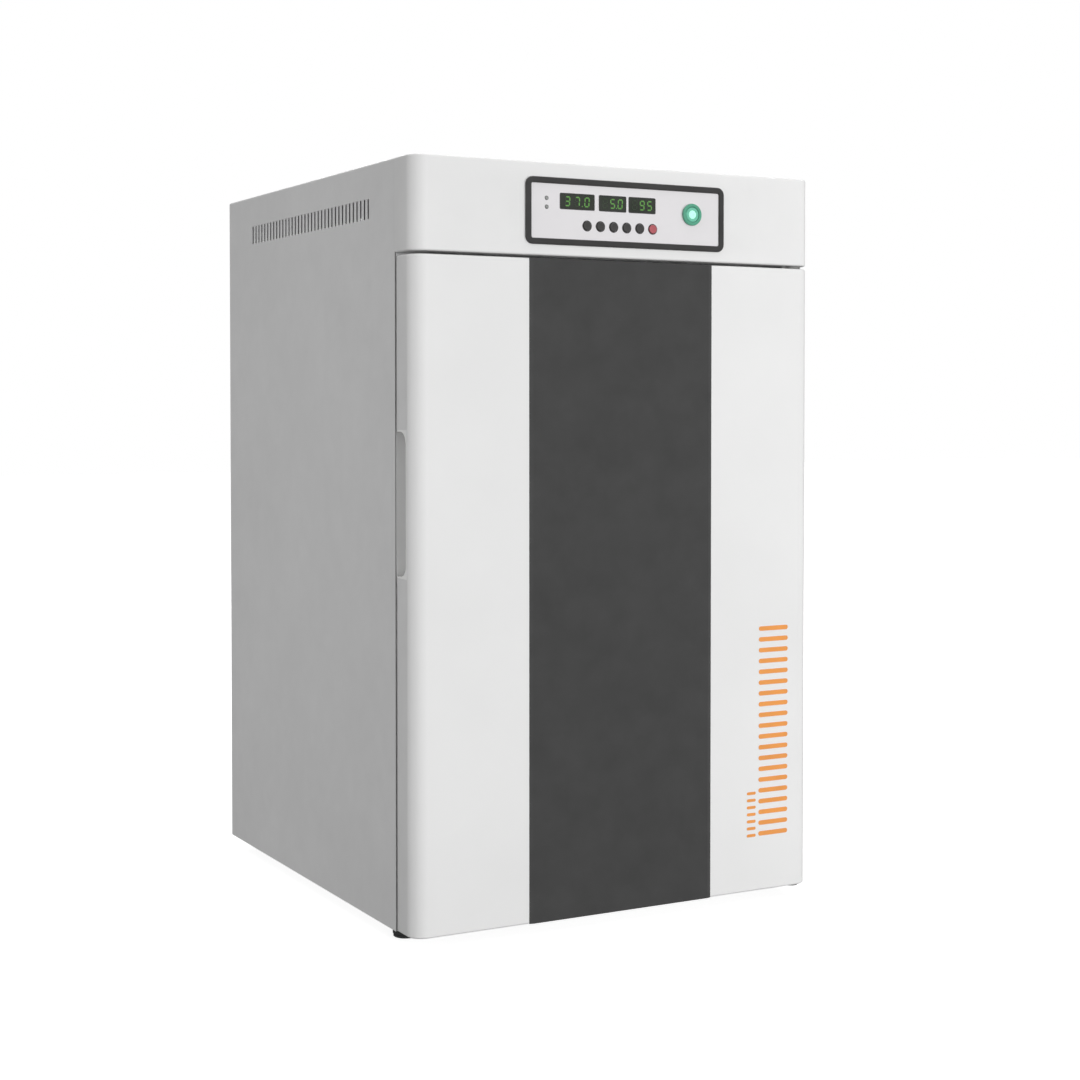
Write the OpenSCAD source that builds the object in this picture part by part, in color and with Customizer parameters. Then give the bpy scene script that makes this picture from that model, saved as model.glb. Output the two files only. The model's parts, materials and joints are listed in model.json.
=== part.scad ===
// Laboratory CO2 incubator, 80 litre class: a floor or bench cabinet with a heated
// stainless chamber, an inner glass door and an insulated outer door hinged on the right.
// Millimetres, +Z up. The origin is the middle of the footprint, on the surface it stands on.
// -Y is the front, +X is the right-hand side seen from the front.

/* [Body] */
// Width of the cabinet
body_w = 538; // [530:2:546]
// Depth of the cabinet, from the door's front face to the rear edges of the side sheets
body_d = 600; // [596:4:620]
// Height of the cabinet without its feet
body_h = 870; // [866:2:880]
// Height of the levelling feet when they are screwed fully in
foot_h = 14; // [12:1:18]
// Radius of the two vertical front corners
corner_r = 18; // [12:1:20]
// Thickness of the painted sheet
sheet_t = 1.5; // [1.2:0.1:2]

/* [Outer door] */
// Thickness of the outer door
door_t = 42; // [40:1:44]
// Gap between the door's rear face and the cabinet, which the gasket fills
door_gap = 6; // [6:0.5:7]
// Height of the fixed header above the door
header_h = 106; // [104:1:110]
// Gap between the door and the header
seam_gap = 3.5; // [3.5:0.5:5]
// Width of the dark centre panel
centre_panel_w = 247; // [200:1:260]
// Sideways offset of the dark centre panel
centre_panel_x = -0.5; // [-5:0.5:5]
// Length of the grip recess in the door's left edge
grip_len = 162; // [110:2:180]
// Radius of the quarter-round grip recess
grip_r = 23; // [20:1:24]

/* [Control panel] */
// Width of the dark bezel
bezel_w = 268; // [260:1:280]
// Height of the dark bezel
bezel_h = 76.5; // [74:0.5:80]
// Width of the bezel's rim
bezel_rim = 7; // [5:0.5:8]
// Sideways offset of the control panel
bezel_x = 5; // [0:0.5:10]
// Distance between the keys
key_pitch = 17.7; // [16:0.1:18]
// Radius of a key
key_r = 5; // [4:0.1:5.5]
// How far a key travels
key_travel = 1; // [0.5:0.1:1.2]
// Radius of the power button's flange
power_r = 13; // [12:0.5:14]
// How far the power button travels
power_travel = 2; // [1:0.5:2.5]

/* [Chamber] */
// Width of the chamber
chamber_w = 400; // [396:2:404]
// Depth of the chamber
chamber_d = 400; // [396:2:404]
// Height of the chamber
chamber_h = 500; // [496:2:504]
// Thickness of the insulation
insulation_t = 30; // [25:1:30]
// Distance between two shelves
shelf_pitch = 125; // [110:5:125]
// Height of the lowest shelf above the chamber floor
first_shelf = 126; // [110:2:130]
// Radius of the fan impeller
impeller_r = 52; // [45:1:55]

/* [Vents] */
// Length of the slotted vent in each side
vent_len = 396; // [300:11:407]
// Height of a vent slot
vent_h = 24; // [16:1:28]
// Width of a vent slot
vent_slot = 5; // [4:0.5:6]
// Distance between two vent slots
vent_pitch = 11; // [9:1:14]

/* [Hidden] */
$fn = 48;

// Main planes of the cabinet
half_w = body_w / 2;
inner_w = half_w - sheet_t;
y_front = -body_d / 2;
y_rear = body_d / 2;
z_base = foot_h;
z_top = foot_h + body_h;
y_door = y_front + door_t;
y_cab = y_door + door_gap;
z_header = z_top - header_h;
door_z0 = z_base + 1;
door_z1 = z_header - seam_gap;

// How far the power button and the rear buffers stand out
proud = 4;

// Front frame and throat
frame_t = 2;
y_frame = y_cab + frame_t;
throat = 24;
throat_w = chamber_w / 2 + throat;
y_flange = y_cab + 26;
z_chamber = z_base + 130;
z_throat0 = z_chamber - throat + 2;
z_throat1 = z_chamber + chamber_h + throat - 2;

// Chamber liner, heater mats and insulation
liner_t = 1.2;
liner_r = 20;
fan_hole_r = 6;
chamber_x = chamber_w / 2;
y_back = y_flange + chamber_d;
pad_t = 1.5;

// Rear panel, recessed so that its fittings stay inside the side sheets
panel_recess = 15;
y_panel = y_rear - panel_recess;
y_panel_in = y_panel - sheet_t;
z_deck = z_header - 15;
rear_vents = 14;
rear_vent_pitch = 12;
rear_vent_row = 18;
rear_vent_z = z_deck + 78;

// Outer door hinge axis
hinge_x = half_w - 15;
hinge_y = y_front + corner_r;
hinge_pin_r = 4;
hinge_nose_r = 9;
bush_r = 7;
running = 0.05;
clear = 0.3;
bracket_t = 2.5;
bracket_x0 = hinge_x - 16;
bracket_x1 = hinge_x + 12;
bracket_leg = 40;

// Grip recess
grip_z = z_base + 483;
grip_z0 = grip_z - grip_len / 2;
grip_z1 = grip_z + grip_len / 2;
cup_wall = 2;

// Recess in the door's inner liner
liner_step = 8;
liner_wall = 2;
liner_x = half_w - 50;
liner_z0 = door_z0 + 95;
liner_z1 = door_z1 - 95;
gasket_w = 14;
gasket_out = half_w - grip_r - cup_wall;
gasket_z0 = door_z0 + 18;
gasket_z1 = door_z1 - 18;

// Control panel
bezel_z = z_header + 50.5;
plate_w = bezel_w - 2 * bezel_rim;
plate_h = bezel_h - 2 * bezel_rim;
plate_t = 3;
bezel_t = 3;
board_t = 1.6;
y_plate = y_front - 1;
y_board = y_front + 9;
display_w = [44, 35, 35];
display_x = [bezel_x - 67, bezel_x - 20.5, bezel_x + 20];
display_z = bezel_z + 12;
display_h = 16.5;
key_x0 = bezel_x - 54;
key_z = bezel_z - 15;
key_clear = 0.3;
power_x = bezel_x + 88.5;
power_z = bezel_z + 4.5;
cap_r = power_r - 4.2;
barrel_r = power_r - 2;
led_x = bezel_x - 107;
led_z = bezel_z + 9.5;
led_r = 2;
led_gap = 5;

// Glass door
glass_t = 5;
y_glass = y_cab + 10;
glass_x0 = -throat_w + 8;
glass_x1 = throat_w - 11;
glass_z0 = z_throat0 + 4;
glass_z1 = z_throat1 - 4;
glass_hinge_x = throat_w - 4;
glass_hinge_y = y_cab + 4;
glass_hinges = [z_chamber + 70, z_chamber + chamber_h - 70];
glass_pin_r = 2;
knuckle_r = 3.5;
knuckle_half = 3.7;
lug = [4, 12];
pull_x = -chamber_x + 2;
pull_z = z_chamber + chamber_h / 2;
striker_half = 8;
seal_in = chamber_x + 3;
seal_w = 6;
seal_z0 = z_chamber - 3;
seal_z1 = z_chamber + chamber_h + 3;

// Shelves and racks
shelf_t = 1.5;
post_t = 3;
rail_t = 1.5;
rail_x = chamber_x - post_t;
rail_h = 9;
shelf_x = rail_x - rail_t - 0.7;
rail_z = [for (i = [0:2]) z_chamber + first_shelf + i * shelf_pitch];
shelf_y0 = y_flange + 11;
shelf_y1 = y_back - 34;
lip_x = rail_x - 19;
perf_r = 5;
perf_pitch = 22;

// Fan
fan_z = z_chamber + 311;
duct_half = 95;
duct_y = y_back - 28;
shaft_r = 3;

// Access port and sensors
port_x = 120;
port_z = z_chamber + 62;
port_r = 20;
port_bore_r = 18.5;
plug_r = port_bore_r - clear;
sensor_x = 130;
sensor_z = z_chamber + chamber_h - 44;
sensor_r = [3, 9];

// Rear services
gas_x = 180;
gas_z = z_header + 22;
gas_tube_r = 3;
gas_y = 40;
gas_drop_x = 150;
barb_r = 4;
fitting_r = 5;
fitting_in = 16;
valve_y = [100, 150];
filter_y = [207, 215];
filter_r = 22;
inlet_x = -180;
inlet_z = z_base + 46;
inlet_half = [14, 10.5];
inlet_depth = 22;
loom_r = 4;
loom_y = y_panel_in - 30;
supply_x = [-210, -60];
supply_y = [60, 220];
supply_z = z_deck + 46;

// Levelling feet
foot_r = 15;
boss_r = 12;
boss_h = 20;
foot_x = [half_w - 24, half_w - 50];
foot_y = [y_front + 74, y_rear - 70];
stud_r = 5;
foot_travel = 12;

// ---------- shared shapes ----------

module block(a, b) {
  translate(a) cube(b - a);
}

module rod_x(x0, x1, y, z, r) {
  translate([x0, y, z]) rotate([0, 90, 0]) cylinder(h = x1 - x0, r = r);
}

module rod_y(x, z, y0, y1, r) {
  translate([x, y0, z]) rotate([-90, 0, 0]) cylinder(h = y1 - y0, r = r);
}

module rod_z(x, y, z0, z1, r) {
  translate([x, y, z0]) cylinder(h = z1 - z0, r = r);
}

module ring_y(x, z, y0, y1, outer, inner) {
  difference() {
    rod_y(x, z, y0, y1, outer);
    rod_y(x, z, y0 - 1, y1 + 1, inner);
  }
}

module ring_z(x, y, z0, z1, outer, inner) {
  difference() {
    rod_z(x, y, z0, z1, outer);
    rod_z(x, y, z0 - 1, z1 + 1, inner);
  }
}

// Rectangle with four true arcs, centred
module round_rect(w, h, r) {
  square([w - 2 * r, h], center = true);
  square([w, h - 2 * r], center = true);
  for (x = [-1, 1], y = [-1, 1])
    translate([x * (w / 2 - r), y * (h / 2 - r)]) circle(r);
}

// Rounded rectangle in the XZ plane, between two planes of Y
module slab_y(x0, x1, z0, z1, y0, y1, r) {
  translate([(x0 + x1) / 2, y1, (z0 + z1) / 2]) rotate([90, 0, 0])
    linear_extrude(y1 - y0) round_rect(x1 - x0, z1 - z0, r);
}

// Rounded rectangle in the XY plane, between two planes of Z
module slab_z(x0, x1, y0, y1, z0, z1, r) {
  translate([(x0 + x1) / 2, (y0 + y1) / 2, z0])
    linear_extrude(z1 - z0) round_rect(x1 - x0, y1 - y0, r);
}

// Plan outline with its two front corners rounded
module front_outline(w, y0, y1, r) {
  translate([-w, y0 + r]) square([2 * w, y1 - y0 - r]);
  translate([-w + r, y0]) square([2 * (w - r), y1 - y0]);
  for (s = [-1, 1]) translate([s * (w - r), y0 + r]) circle(r);
}

// Box with rounded front corners, closed at the front, top and bottom and open at the rear
module front_tray(z0, z1, y1) {
  difference() {
    translate([0, 0, z0]) linear_extrude(z1 - z0)
      front_outline(half_w, y_front, y1, corner_r);
    translate([0, 0, z0 + sheet_t]) linear_extrude(z1 - z0 - 2 * sheet_t)
      front_outline(inner_w, y_front + sheet_t, y1 + 1, corner_r - sheet_t);
  }
}

// ---------- cabinet ----------

module outer_shell() {
  lip = 14;
  vent_z = z_header + 55;
  vent_y0 = y_front + 120;
  color("gainsboro") difference() {
    union() {
      for (s = [-1, 1]) {
        block([min(s * half_w, s * inner_w), y_cab, z_base],
              [max(s * half_w, s * inner_w), y_rear, z_top]);
        block([min(s * inner_w, s * (inner_w - lip)), y_panel_in - sheet_t, z_base + frame_t],
              [max(s * inner_w, s * (inner_w - lip)), y_panel_in, z_top - sheet_t]);
      }
      block([-half_w, y_cab, z_top - sheet_t], [half_w, y_rear, z_top]);
    }
    for (i = [0:floor(vent_len / vent_pitch) - 1])
      block([-half_w - 1, vent_y0 + i * vent_pitch, vent_z - vent_h / 2],
            [half_w + 1, vent_y0 + i * vent_pitch + vent_slot, vent_z + vent_h / 2]);
  }
}

module back_panel() {
  color("gainsboro") difference() {
    block([-inner_w, y_panel_in, z_base], [inner_w, y_panel, z_top - sheet_t]);
    rod_y(port_x, port_z, y_panel_in - 1, y_panel + 1, port_r);
    rod_y(gas_x, gas_z, y_panel_in - 1, y_panel + 1, fitting_r);
    block([inlet_x - inlet_half[0], y_panel_in - 1, inlet_z - inlet_half[1]],
          [inlet_x + inlet_half[0], y_panel + 1, inlet_z + inlet_half[1]]);
    for (i = [0:rear_vents - 1], s = [-1, 1])
      rear_vent(i * rear_vent_pitch - rear_vents * rear_vent_pitch / 2, rear_vent_z + s * rear_vent_row);
  }
}

// Cutter for one slot of the rear vent, 5 mm wide and 24 mm high
module rear_vent(x, z) {
  block([x, y_panel_in - 1, z - 12], [x + 5, y_panel + 1, z + 12]);
}

module panel_screws() {
  head_r = 4;
  color("silver") for (x = [-1, 1]) {
    for (i = [0:4])
      screw_head(x * (inner_w - 7), z_base + 30 + i * (body_h - 60) / 4, head_r);
  }
}

// Pan head with a hexagon socket, seated on the rear panel
module screw_head(x, z, r) {
  difference() {
    rod_y(x, z, y_panel, y_panel + 2.4, r);
    translate([x, y_panel + 1, z]) rotate([-90, 0, 0]) cylinder(h = 2, r = 1.6, $fn = 6);
  }
}

module base_pan() {
  color("gainsboro") difference() {
    union() {
      block([-inner_w, y_frame, z_base], [inner_w, y_panel_in, z_base + frame_t]);
      for (i = [0, 1], s = [-1, 1])
        rod_z(s * foot_x[i], foot_y[i], z_base + frame_t, z_base + boss_h, boss_r);
    }
    for (i = [0, 1], s = [-1, 1])
      rod_z(s * foot_x[i], foot_y[i], z_base - 1, z_base + boss_h + 1, stud_r + running);
    block([bracket_x0, y_frame - 1, z_base - 1],
          [bracket_x1, y_frame + bracket_t, z_base + frame_t + 1]);
  }
}

// Painted frame that the magnetic gasket closes on, with the collar of the throat
module front_frame() {
  r = 12;
  color("whitesmoke") difference() {
    union() {
      block([-inner_w, y_cab, z_base], [inner_w, y_frame, z_header]);
      slab_y(-throat_w - frame_t, throat_w + frame_t, z_throat0 - frame_t, z_throat1 + frame_t,
             y_frame, y_flange, r + frame_t);
    }
    slab_y(-throat_w, throat_w, z_throat0, z_throat1, y_cab - 1, y_flange + 1, r);
    block([bracket_x0, y_cab - 1, z_header - bracket_t], [bracket_x1, y_frame + 1, z_header + 1]);
  }
}

module electronics_deck() {
  color("silver") difference() {
    block([-inner_w, y_frame, z_deck], [inner_w, y_panel_in - sheet_t, z_deck + sheet_t]);
    block([bracket_x0 - 1, y_frame - 1, z_deck - 1],
          [bracket_x1 + 1, y_frame + bracket_t + 1, z_deck + 3]);
    rod_z(gas_drop_x, gas_y, z_deck - 1, z_deck + 3, gas_tube_r + 1);
    rod_z(inlet_x, loom_y, z_deck - 1, z_deck + 3, loom_r + 2);
  }
}

// ---------- header and control panel ----------

module header_fascia() {
  color("whitesmoke") difference() {
    front_tray(z_header, z_top, y_cab);
    block([bezel_x - plate_w / 2, y_front - 1, bezel_z - plate_h / 2],
          [bezel_x + plate_w / 2, y_front + sheet_t + 1, bezel_z + plate_h / 2]);
  }
}

module control_bezel() {
  color("dimgray") difference() {
    slab_y(bezel_x - bezel_w / 2, bezel_x + bezel_w / 2, bezel_z - bezel_h / 2,
           bezel_z + bezel_h / 2, y_front - bezel_t, y_front, 5);
    block([bezel_x - plate_w / 2, y_front - bezel_t - 1, bezel_z - plate_h / 2],
          [bezel_x + plate_w / 2, y_front + 1, bezel_z + plate_h / 2]);
  }
}

module control_plate() {
  color("lightgray") difference() {
    block([bezel_x - plate_w / 2, y_plate, bezel_z - plate_h / 2],
          [bezel_x + plate_w / 2, y_plate + plate_t, bezel_z + plate_h / 2]);
    for (i = [0:2]) display_block(i, y_plate - 1, y_plate + plate_t + 1);
    for (i = [0:5])
      rod_y(key_x0 + i * key_pitch, key_z, y_plate - 1, y_plate + plate_t + 1, key_r + key_clear);
    for (s = [-1, 1]) rod_y(led_x, led_z + s * led_gap, y_plate - 1, y_plate + plate_t + 1, led_r);
    rod_y(power_x, power_z, y_plate - 1, y_plate + plate_t + 1, barrel_r);
  }
}

module display_block(i, y0, y1) {
  block([display_x[i] - display_w[i] / 2, y0, display_z - display_h / 2],
        [display_x[i] + display_w[i] / 2, y1, display_z + display_h / 2]);
}

module display_windows() {
  color("darkolivegreen") for (i = [0:2]) display_block(i, y_plate - 0.3, y_board);
}

module status_leds() {
  color("darkslategray") for (s = [-1, 1])
    rod_y(led_x, led_z + s * led_gap, y_plate - 0.8, y_board, led_r);
}

// Round key with a hidden flange that keeps it behind the plate
module key(i) {
  x = key_x0 + i * key_pitch;
  y_switch = y_board - 4.6;
  rod_y(x, key_z, y_plate - 1.5, y_switch, key_r);
  rod_y(x, key_z, y_plate + plate_t + 0.5, y_switch, key_r + 1.2);
}

// Flange with a barrel behind it, bored as a pocket for the cap
module power_button_bezel() {
  color("seagreen") difference() {
    union() {
      rod_y(power_x, power_z, y_front - proud, y_plate, power_r);
      rod_y(power_x, power_z, y_plate, y_front + 30, barrel_r);
    }
    rod_y(power_x, power_z, y_front - proud - 1, y_front + 10, cap_r + 0.2);
  }
}

module power_button_cap() {
  color("aquamarine") rod_y(power_x, power_z, y_front - 3.6, y_front + 6, cap_r);
}

module control_board() {
  pin = 6;
  color("seagreen") difference() {
    union() {
      block([bezel_x - plate_w / 2 + 6, y_board, bezel_z - plate_h / 2 + 2],
            [bezel_x + plate_w / 2 - 6, y_board + board_t, bezel_z + plate_h / 2 - 2]);
      for (i = [0:5])
        block([key_x0 + i * key_pitch - pin / 2, y_board - 3, key_z - pin / 2],
              [key_x0 + i * key_pitch + pin / 2, y_board, key_z + pin / 2]);
      block([led_x, y_board + board_t, bezel_z - 12], [led_x + 60, y_board + 10, bezel_z + 12]);
    }
    rod_y(power_x, power_z, y_board - 1, y_board + 11, power_r - 1);
  }
}

// ---------- chamber ----------

module liner_box(grow, y0, y1) {
  slab_y(-chamber_x - grow, chamber_x + grow, z_chamber - grow, z_chamber + chamber_h + grow,
         y0, y1, liner_r + grow);
}

module chamber_liner() {
  color("lightsteelblue") difference() {
    union() {
      liner_box(liner_t, y_flange, y_back + liner_t);
      block([-throat_w - frame_t, y_flange, z_throat0 - frame_t],
            [throat_w + frame_t, y_flange + liner_t, z_throat1 + frame_t]);
    }
    liner_box(0, y_flange - 1, y_back);
    rod_y(0, fan_z, y_back - 1, y_back + liner_t + 1, fan_hole_r);
    rod_y(port_x, port_z, y_back - 1, y_back + liner_t + 1, port_r);
    for (i = [0, 1])
      rod_y((2 * i - 1) * sensor_x, sensor_z, y_back - 1, y_back + liner_t + 1, sensor_r[i]);
    rod_z(gas_drop_x, gas_y, z_chamber + chamber_h - 1, z_chamber + chamber_h + 2, gas_tube_r);
  }
}

module chamber_seal() {
  color("lightgray") difference() {
    slab_y(-seal_in - seal_w, seal_in + seal_w, seal_z0 - seal_w, seal_z1 + seal_w,
           y_glass + glass_t + clear, y_flange, 24);
    slab_y(-seal_in, seal_in, seal_z0, seal_z1, y_glass, y_flange + 1, 18);
  }
}

module insulation_jacket() {
  out = chamber_x + liner_t + insulation_t;
  y1 = y_back + liner_t + insulation_t;
  color("khaki") difference() {
    block([-out, y_flange + liner_t, z_chamber - liner_t - insulation_t + 2],
          [out, y1, z_chamber + chamber_h + liner_t + insulation_t - 2]);
    liner_box(liner_t, y_flange, y_back + liner_t);
    heater_pads();
    rod_y(0, fan_z, y_back, y1 + 1, fan_hole_r + 2);
    rod_y(port_x, port_z, y_back, y1 + 1, port_r);
    for (i = [0, 1])
      rod_y((2 * i - 1) * sensor_x, sensor_z, y_back, y1 + 1, sensor_r[i] + 2);
    rod_z(gas_drop_x, gas_y, z_chamber + chamber_h, z_chamber + chamber_h + 40, gas_tube_r + 1);
  }
}

// Silicone heating mats bonded to both sides and the underside of the liner
module heater_pads() {
  x = chamber_x + liner_t;
  color("darkorange") {
    for (s = [-1, 1])
      block([min(s * x, s * (x + pad_t)), y_flange + 60, z_chamber + 60],
            [max(s * x, s * (x + pad_t)), y_back - 40, z_chamber + chamber_h - 60]);
    block([-chamber_x + 60, y_flange + 60, z_chamber - liner_t - pad_t],
          [chamber_x - 60, y_back - 40, z_chamber - liner_t]);
  }
}

module rack_posts() {
  slot_pitch = 25;
  post_w = 20;
  color("silver") for (s = [-1, 1], y = [y_flange + 46, y_back - 74]) difference() {
    block([min(s * chamber_x, s * rail_x), y, z_chamber + liner_r],
          [max(s * chamber_x, s * rail_x), y + post_w, z_chamber + chamber_h - liner_r]);
    for (i = [0:17])
      block([min(s * chamber_x, s * rail_x) - 1, y + 7, z_chamber + 32 + i * slot_pitch],
            [max(s * chamber_x, s * rail_x) + 1, y + 13, z_chamber + 42 + i * slot_pitch]);
  }
}

// U-channel runner of one shelf on one side
module shelf_rail(s, z) {
  y0 = y_flange + 21;
  block([min(s * rail_x, s * (rail_x - rail_t)), y0, z - rail_t],
        [max(s * rail_x, s * (rail_x - rail_t)), shelf_y1, z + rail_h]);
  block([min(s * rail_x, s * (rail_x - 17)), y0, z - rail_t],
        [max(s * rail_x, s * (rail_x - 17)), shelf_y1, z]);
  block([min(s * rail_x, s * (rail_x - 8)), y0, z + rail_h - rail_t],
        [max(s * rail_x, s * (rail_x - 8)), shelf_y1, z + rail_h]);
}

module shelf_rails() {
  color("silver") for (z = rail_z, s = [-1, 1]) shelf_rail(s, z);
}

// Perforated shelf with a folded front edge and an upturned rear stop
module shelf(i) {
  z = rail_z[i] + clear;
  nx = floor((2 * lip_x - 20) / perf_pitch);
  ny = floor((shelf_y1 - shelf_y0 - 30) / perf_pitch);
  difference() {
    block([-shelf_x, shelf_y0, z], [shelf_x, shelf_y1, z + shelf_t]);
    for (column = [0:nx - 1], row = [0:ny - 1])
      rod_z((column - (nx - 1) / 2) * perf_pitch,
            (shelf_y0 + shelf_y1) / 2 + (row - (ny - 1) / 2) * perf_pitch, z - 1, z + 3, perf_r);
  }
  block([-lip_x, shelf_y0, z - 12], [lip_x, shelf_y0 + shelf_t, z + shelf_t]);
  block([-lip_x, shelf_y1 - shelf_t, z], [lip_x, shelf_y1, z + 14]);
}

module humidity_tray() {
  x = chamber_x - 35;
  y0 = y_flange + 36;
  y1 = y_back - 54;
  z0 = z_chamber + clear;
  z1 = z0 + 36;
  color("silver") difference() {
    union() {
      slab_z(-x, x, y0, y1, z0, z1, 18);
      slab_z(-x - 6, x + 6, y0 - 6, y1 + 6, z1 - liner_t, z1, 24);
    }
    slab_z(-x + liner_t, x - liner_t, y0 + liner_t, y1 - liner_t, z0 + liner_t, z1 + 1, 18 - liner_t);
  }
}

// ---------- fan, sensors and access port ----------

module fan_duct_cover() {
  rings = 4;
  color("lightsteelblue") difference() {
    slab_y(-duct_half, duct_half, fan_z - duct_half, fan_z + duct_half, duct_y, y_back, 14);
    slab_y(-duct_half + liner_t, duct_half - liner_t, fan_z - duct_half + liner_t,
           fan_z + duct_half - liner_t, duct_y + liner_t, y_back + 1, 14 - liner_t);
    rod_y(0, fan_z, duct_y - 1, duct_y + 3, 3.5);
    for (ring = [1:rings], i = [0:6 * ring - 1])
      rod_y(ring * 12 * cos(i * 60 / ring), fan_z + ring * 12 * sin(i * 60 / ring),
            duct_y - 1, duct_y + 3, 4);
    for (z = [-60:30:60]) block([-duct_half - 1, duct_y + 9, fan_z + z - 10],
                                [duct_half + 1, duct_y + 19, fan_z + z + 10]);
  }
}

module fan_impeller() {
  blades = 12;
  y0 = duct_y + 6;
  y1 = y_back - 6;
  color("white") {
    rod_y(0, fan_z, y1 - 2, y1, impeller_r);
    rod_y(0, fan_z, y0, y1, 11);
    rod_y(0, fan_z, y1, y_back + liner_t + insulation_t + 18, shaft_r);
    for (i = [0:blades - 1]) translate([0, 0, fan_z]) rotate([0, i * 360 / blades, 0])
      translate([9, y0, 6]) rotate([0, 14, 0]) cube([impeller_r - 13, y1 - 1 - y0, 1.5]);
  }
}

module fan_motor() {
  y0 = y_back + liner_t + insulation_t;
  color("dimgray") difference() {
    union() {
      rod_y(0, fan_z, y0, y0 + 4, 42);
      rod_y(0, fan_z, y0 + 4, y0 + 58, 32);
    }
    rod_y(0, fan_z, y0 - 1, y0 + 20, shaft_r + running);
  }
}

// Temperature probe on the left and sintered gas sensor on the right
module chamber_sensors() {
  y1 = y_back + liner_t + insulation_t + 6;
  color("silver") {
    rod_y(-sensor_x, sensor_z, y_back - 28, y1, sensor_r[0]);
    rod_y(sensor_x, sensor_z, y_back - 28, y1, sensor_r[1]);
  }
}

module access_port_tube() {
  color("silver") ring_y(port_x, port_z, y_back, y_panel + 2, port_r, port_bore_r);
}

module access_port_plug() {
  color("white") {
    rod_y(port_x, port_z, y_panel - 45, y_panel + 3, plug_r);
    rod_y(port_x, port_z, y_panel + 2.3, y_panel + 11, port_r + 4);
  }
}

// ---------- inner glass door ----------

module glass_pane() {
  color("lightcyan") slab_y(glass_x0, glass_x1, glass_z0, glass_z1, y_glass, y_glass + glass_t, 10);
}

// Stainless clip screwed to the pane, with the knuckle that turns on the pin
module glass_hinge_clips() {
  color("silver") for (z = glass_hinges) difference() {
    union() {
      block([glass_x1 - 21, y_glass - 2, z - 12], [glass_x1 + 2, y_glass, z + 12]);
      block([glass_x1, glass_hinge_y, z - knuckle_half], [glass_hinge_x, y_glass, z + knuckle_half]);
      rod_z(glass_hinge_x, glass_hinge_y, z - knuckle_half, z + knuckle_half, knuckle_r);
      for (s = [-1, 1]) rod_y(glass_x1 - 12, z + s * 7, y_glass - 3.2, y_glass - 2, 3);
    }
    rod_z(glass_hinge_x, glass_hinge_y, z - 5, z + 5, glass_pin_r + running);
  }
}

// Two lugs and a pin on the throat's right-hand wall
module glass_hinge_brackets() {
  color("silver") for (z = glass_hinges) {
    for (s = [-1, 1])
      block([glass_hinge_x - knuckle_r, glass_hinge_y - knuckle_r, min(z + s * lug[0], z + s * lug[1])],
            [throat_w, glass_hinge_y + knuckle_r, max(z + s * lug[0], z + s * lug[1])]);
    rod_z(glass_hinge_x, glass_hinge_y, z - lug[1], z + lug[1], glass_pin_r);
  }
}

// Pull knob, and the steel striker folded round the pane's free edge
module glass_pull() {
  color("dimgray") {
    rod_y(pull_x, pull_z, y_glass - 8, y_glass, 5);
    rod_y(pull_x, pull_z, y_glass - 13, y_glass - 8, 11);
    block([glass_x0 - 2, y_glass - 1, pull_z - striker_half],
          [glass_x0 + 7, y_glass, pull_z + striker_half]);
    block([glass_x0 - 2, y_glass - 1, pull_z - striker_half],
          [glass_x0, y_glass + glass_t + 1, pull_z + striker_half]);
    block([glass_x0 - 2, y_glass + glass_t, pull_z - striker_half],
          [glass_x0 + 7, y_glass + glass_t + 1, pull_z + striker_half]);
  }
}

module magnet_catch() {
  color("dimgray") block([glass_x0 - 6, y_glass + glass_t + 1 + clear, pull_z - 10],
                         [glass_x0 + 7, y_flange, pull_z + 10]);
}

// ---------- outer door ----------

module door_outer_shell() {
  color("whitesmoke") difference() {
    front_tray(door_z0, door_z1, y_door);
    block([-half_w - 1, y_door - grip_r - cup_wall, grip_z0 - cup_wall],
          [-inner_w + 1, y_door + 1, grip_z1 + cup_wall]);
    for (z = [door_z0, door_z1])
      rod_z(hinge_x, hinge_y, z - 3, z + 3, bush_r);
  }
}

module door_centre_panel() {
  color("dimgray") block([centre_panel_x - centre_panel_w / 2, y_front - 1.5, door_z0],
                         [centre_panel_x + centre_panel_w / 2, y_front, door_z1]);
}

// Moulded inner skin with a shallow rounded recess
module door_inner_liner() {
  color("white") difference() {
    union() {
      block([-inner_w, y_door - liner_wall, door_z0 + sheet_t],
            [inner_w, y_door, door_z1 - sheet_t]);
      slab_y(-liner_x - liner_wall, liner_x + liner_wall, liner_z0 - liner_wall,
             liner_z1 + liner_wall, y_door - liner_step - liner_wall, y_door - liner_wall,
             26 + liner_wall);
    }
    slab_y(-liner_x, liner_x, liner_z0, liner_z1, y_door - liner_step, y_door + 1, 26);
    block([-inner_w - 1, y_door - liner_wall - 1, grip_z0 - cup_wall],
          [-half_w + grip_r + cup_wall, y_door + 1, grip_z1 + cup_wall]);
  }
}

module door_insulation() {
  y1 = y_door - liner_step - liner_wall;
  color("khaki") difference() {
    block([-half_w + corner_r, y_front + sheet_t, door_z0 + sheet_t],
          [half_w - corner_r, y1, door_z1 - sheet_t]);
    block([-half_w, y_door - grip_r - cup_wall, grip_z0 - cup_wall],
          [-half_w + grip_r + cup_wall, y_door, grip_z1 + cup_wall]);
    rod_z(hinge_x, hinge_y, door_z0, door_z0 + 24, bush_r);
    rod_z(hinge_x, hinge_y, door_z1 - 24, door_z1, bush_r);
  }
}

module door_gasket() {
  color("gray") difference() {
    slab_y(-gasket_out, gasket_out, gasket_z0, gasket_z1, y_door, y_cab - clear, 16);
    slab_y(-gasket_out + gasket_w, gasket_out - gasket_w, gasket_z0 + gasket_w,
           gasket_z1 - gasket_w, y_door - 1, y_cab + 1, 4);
  }
}

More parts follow.
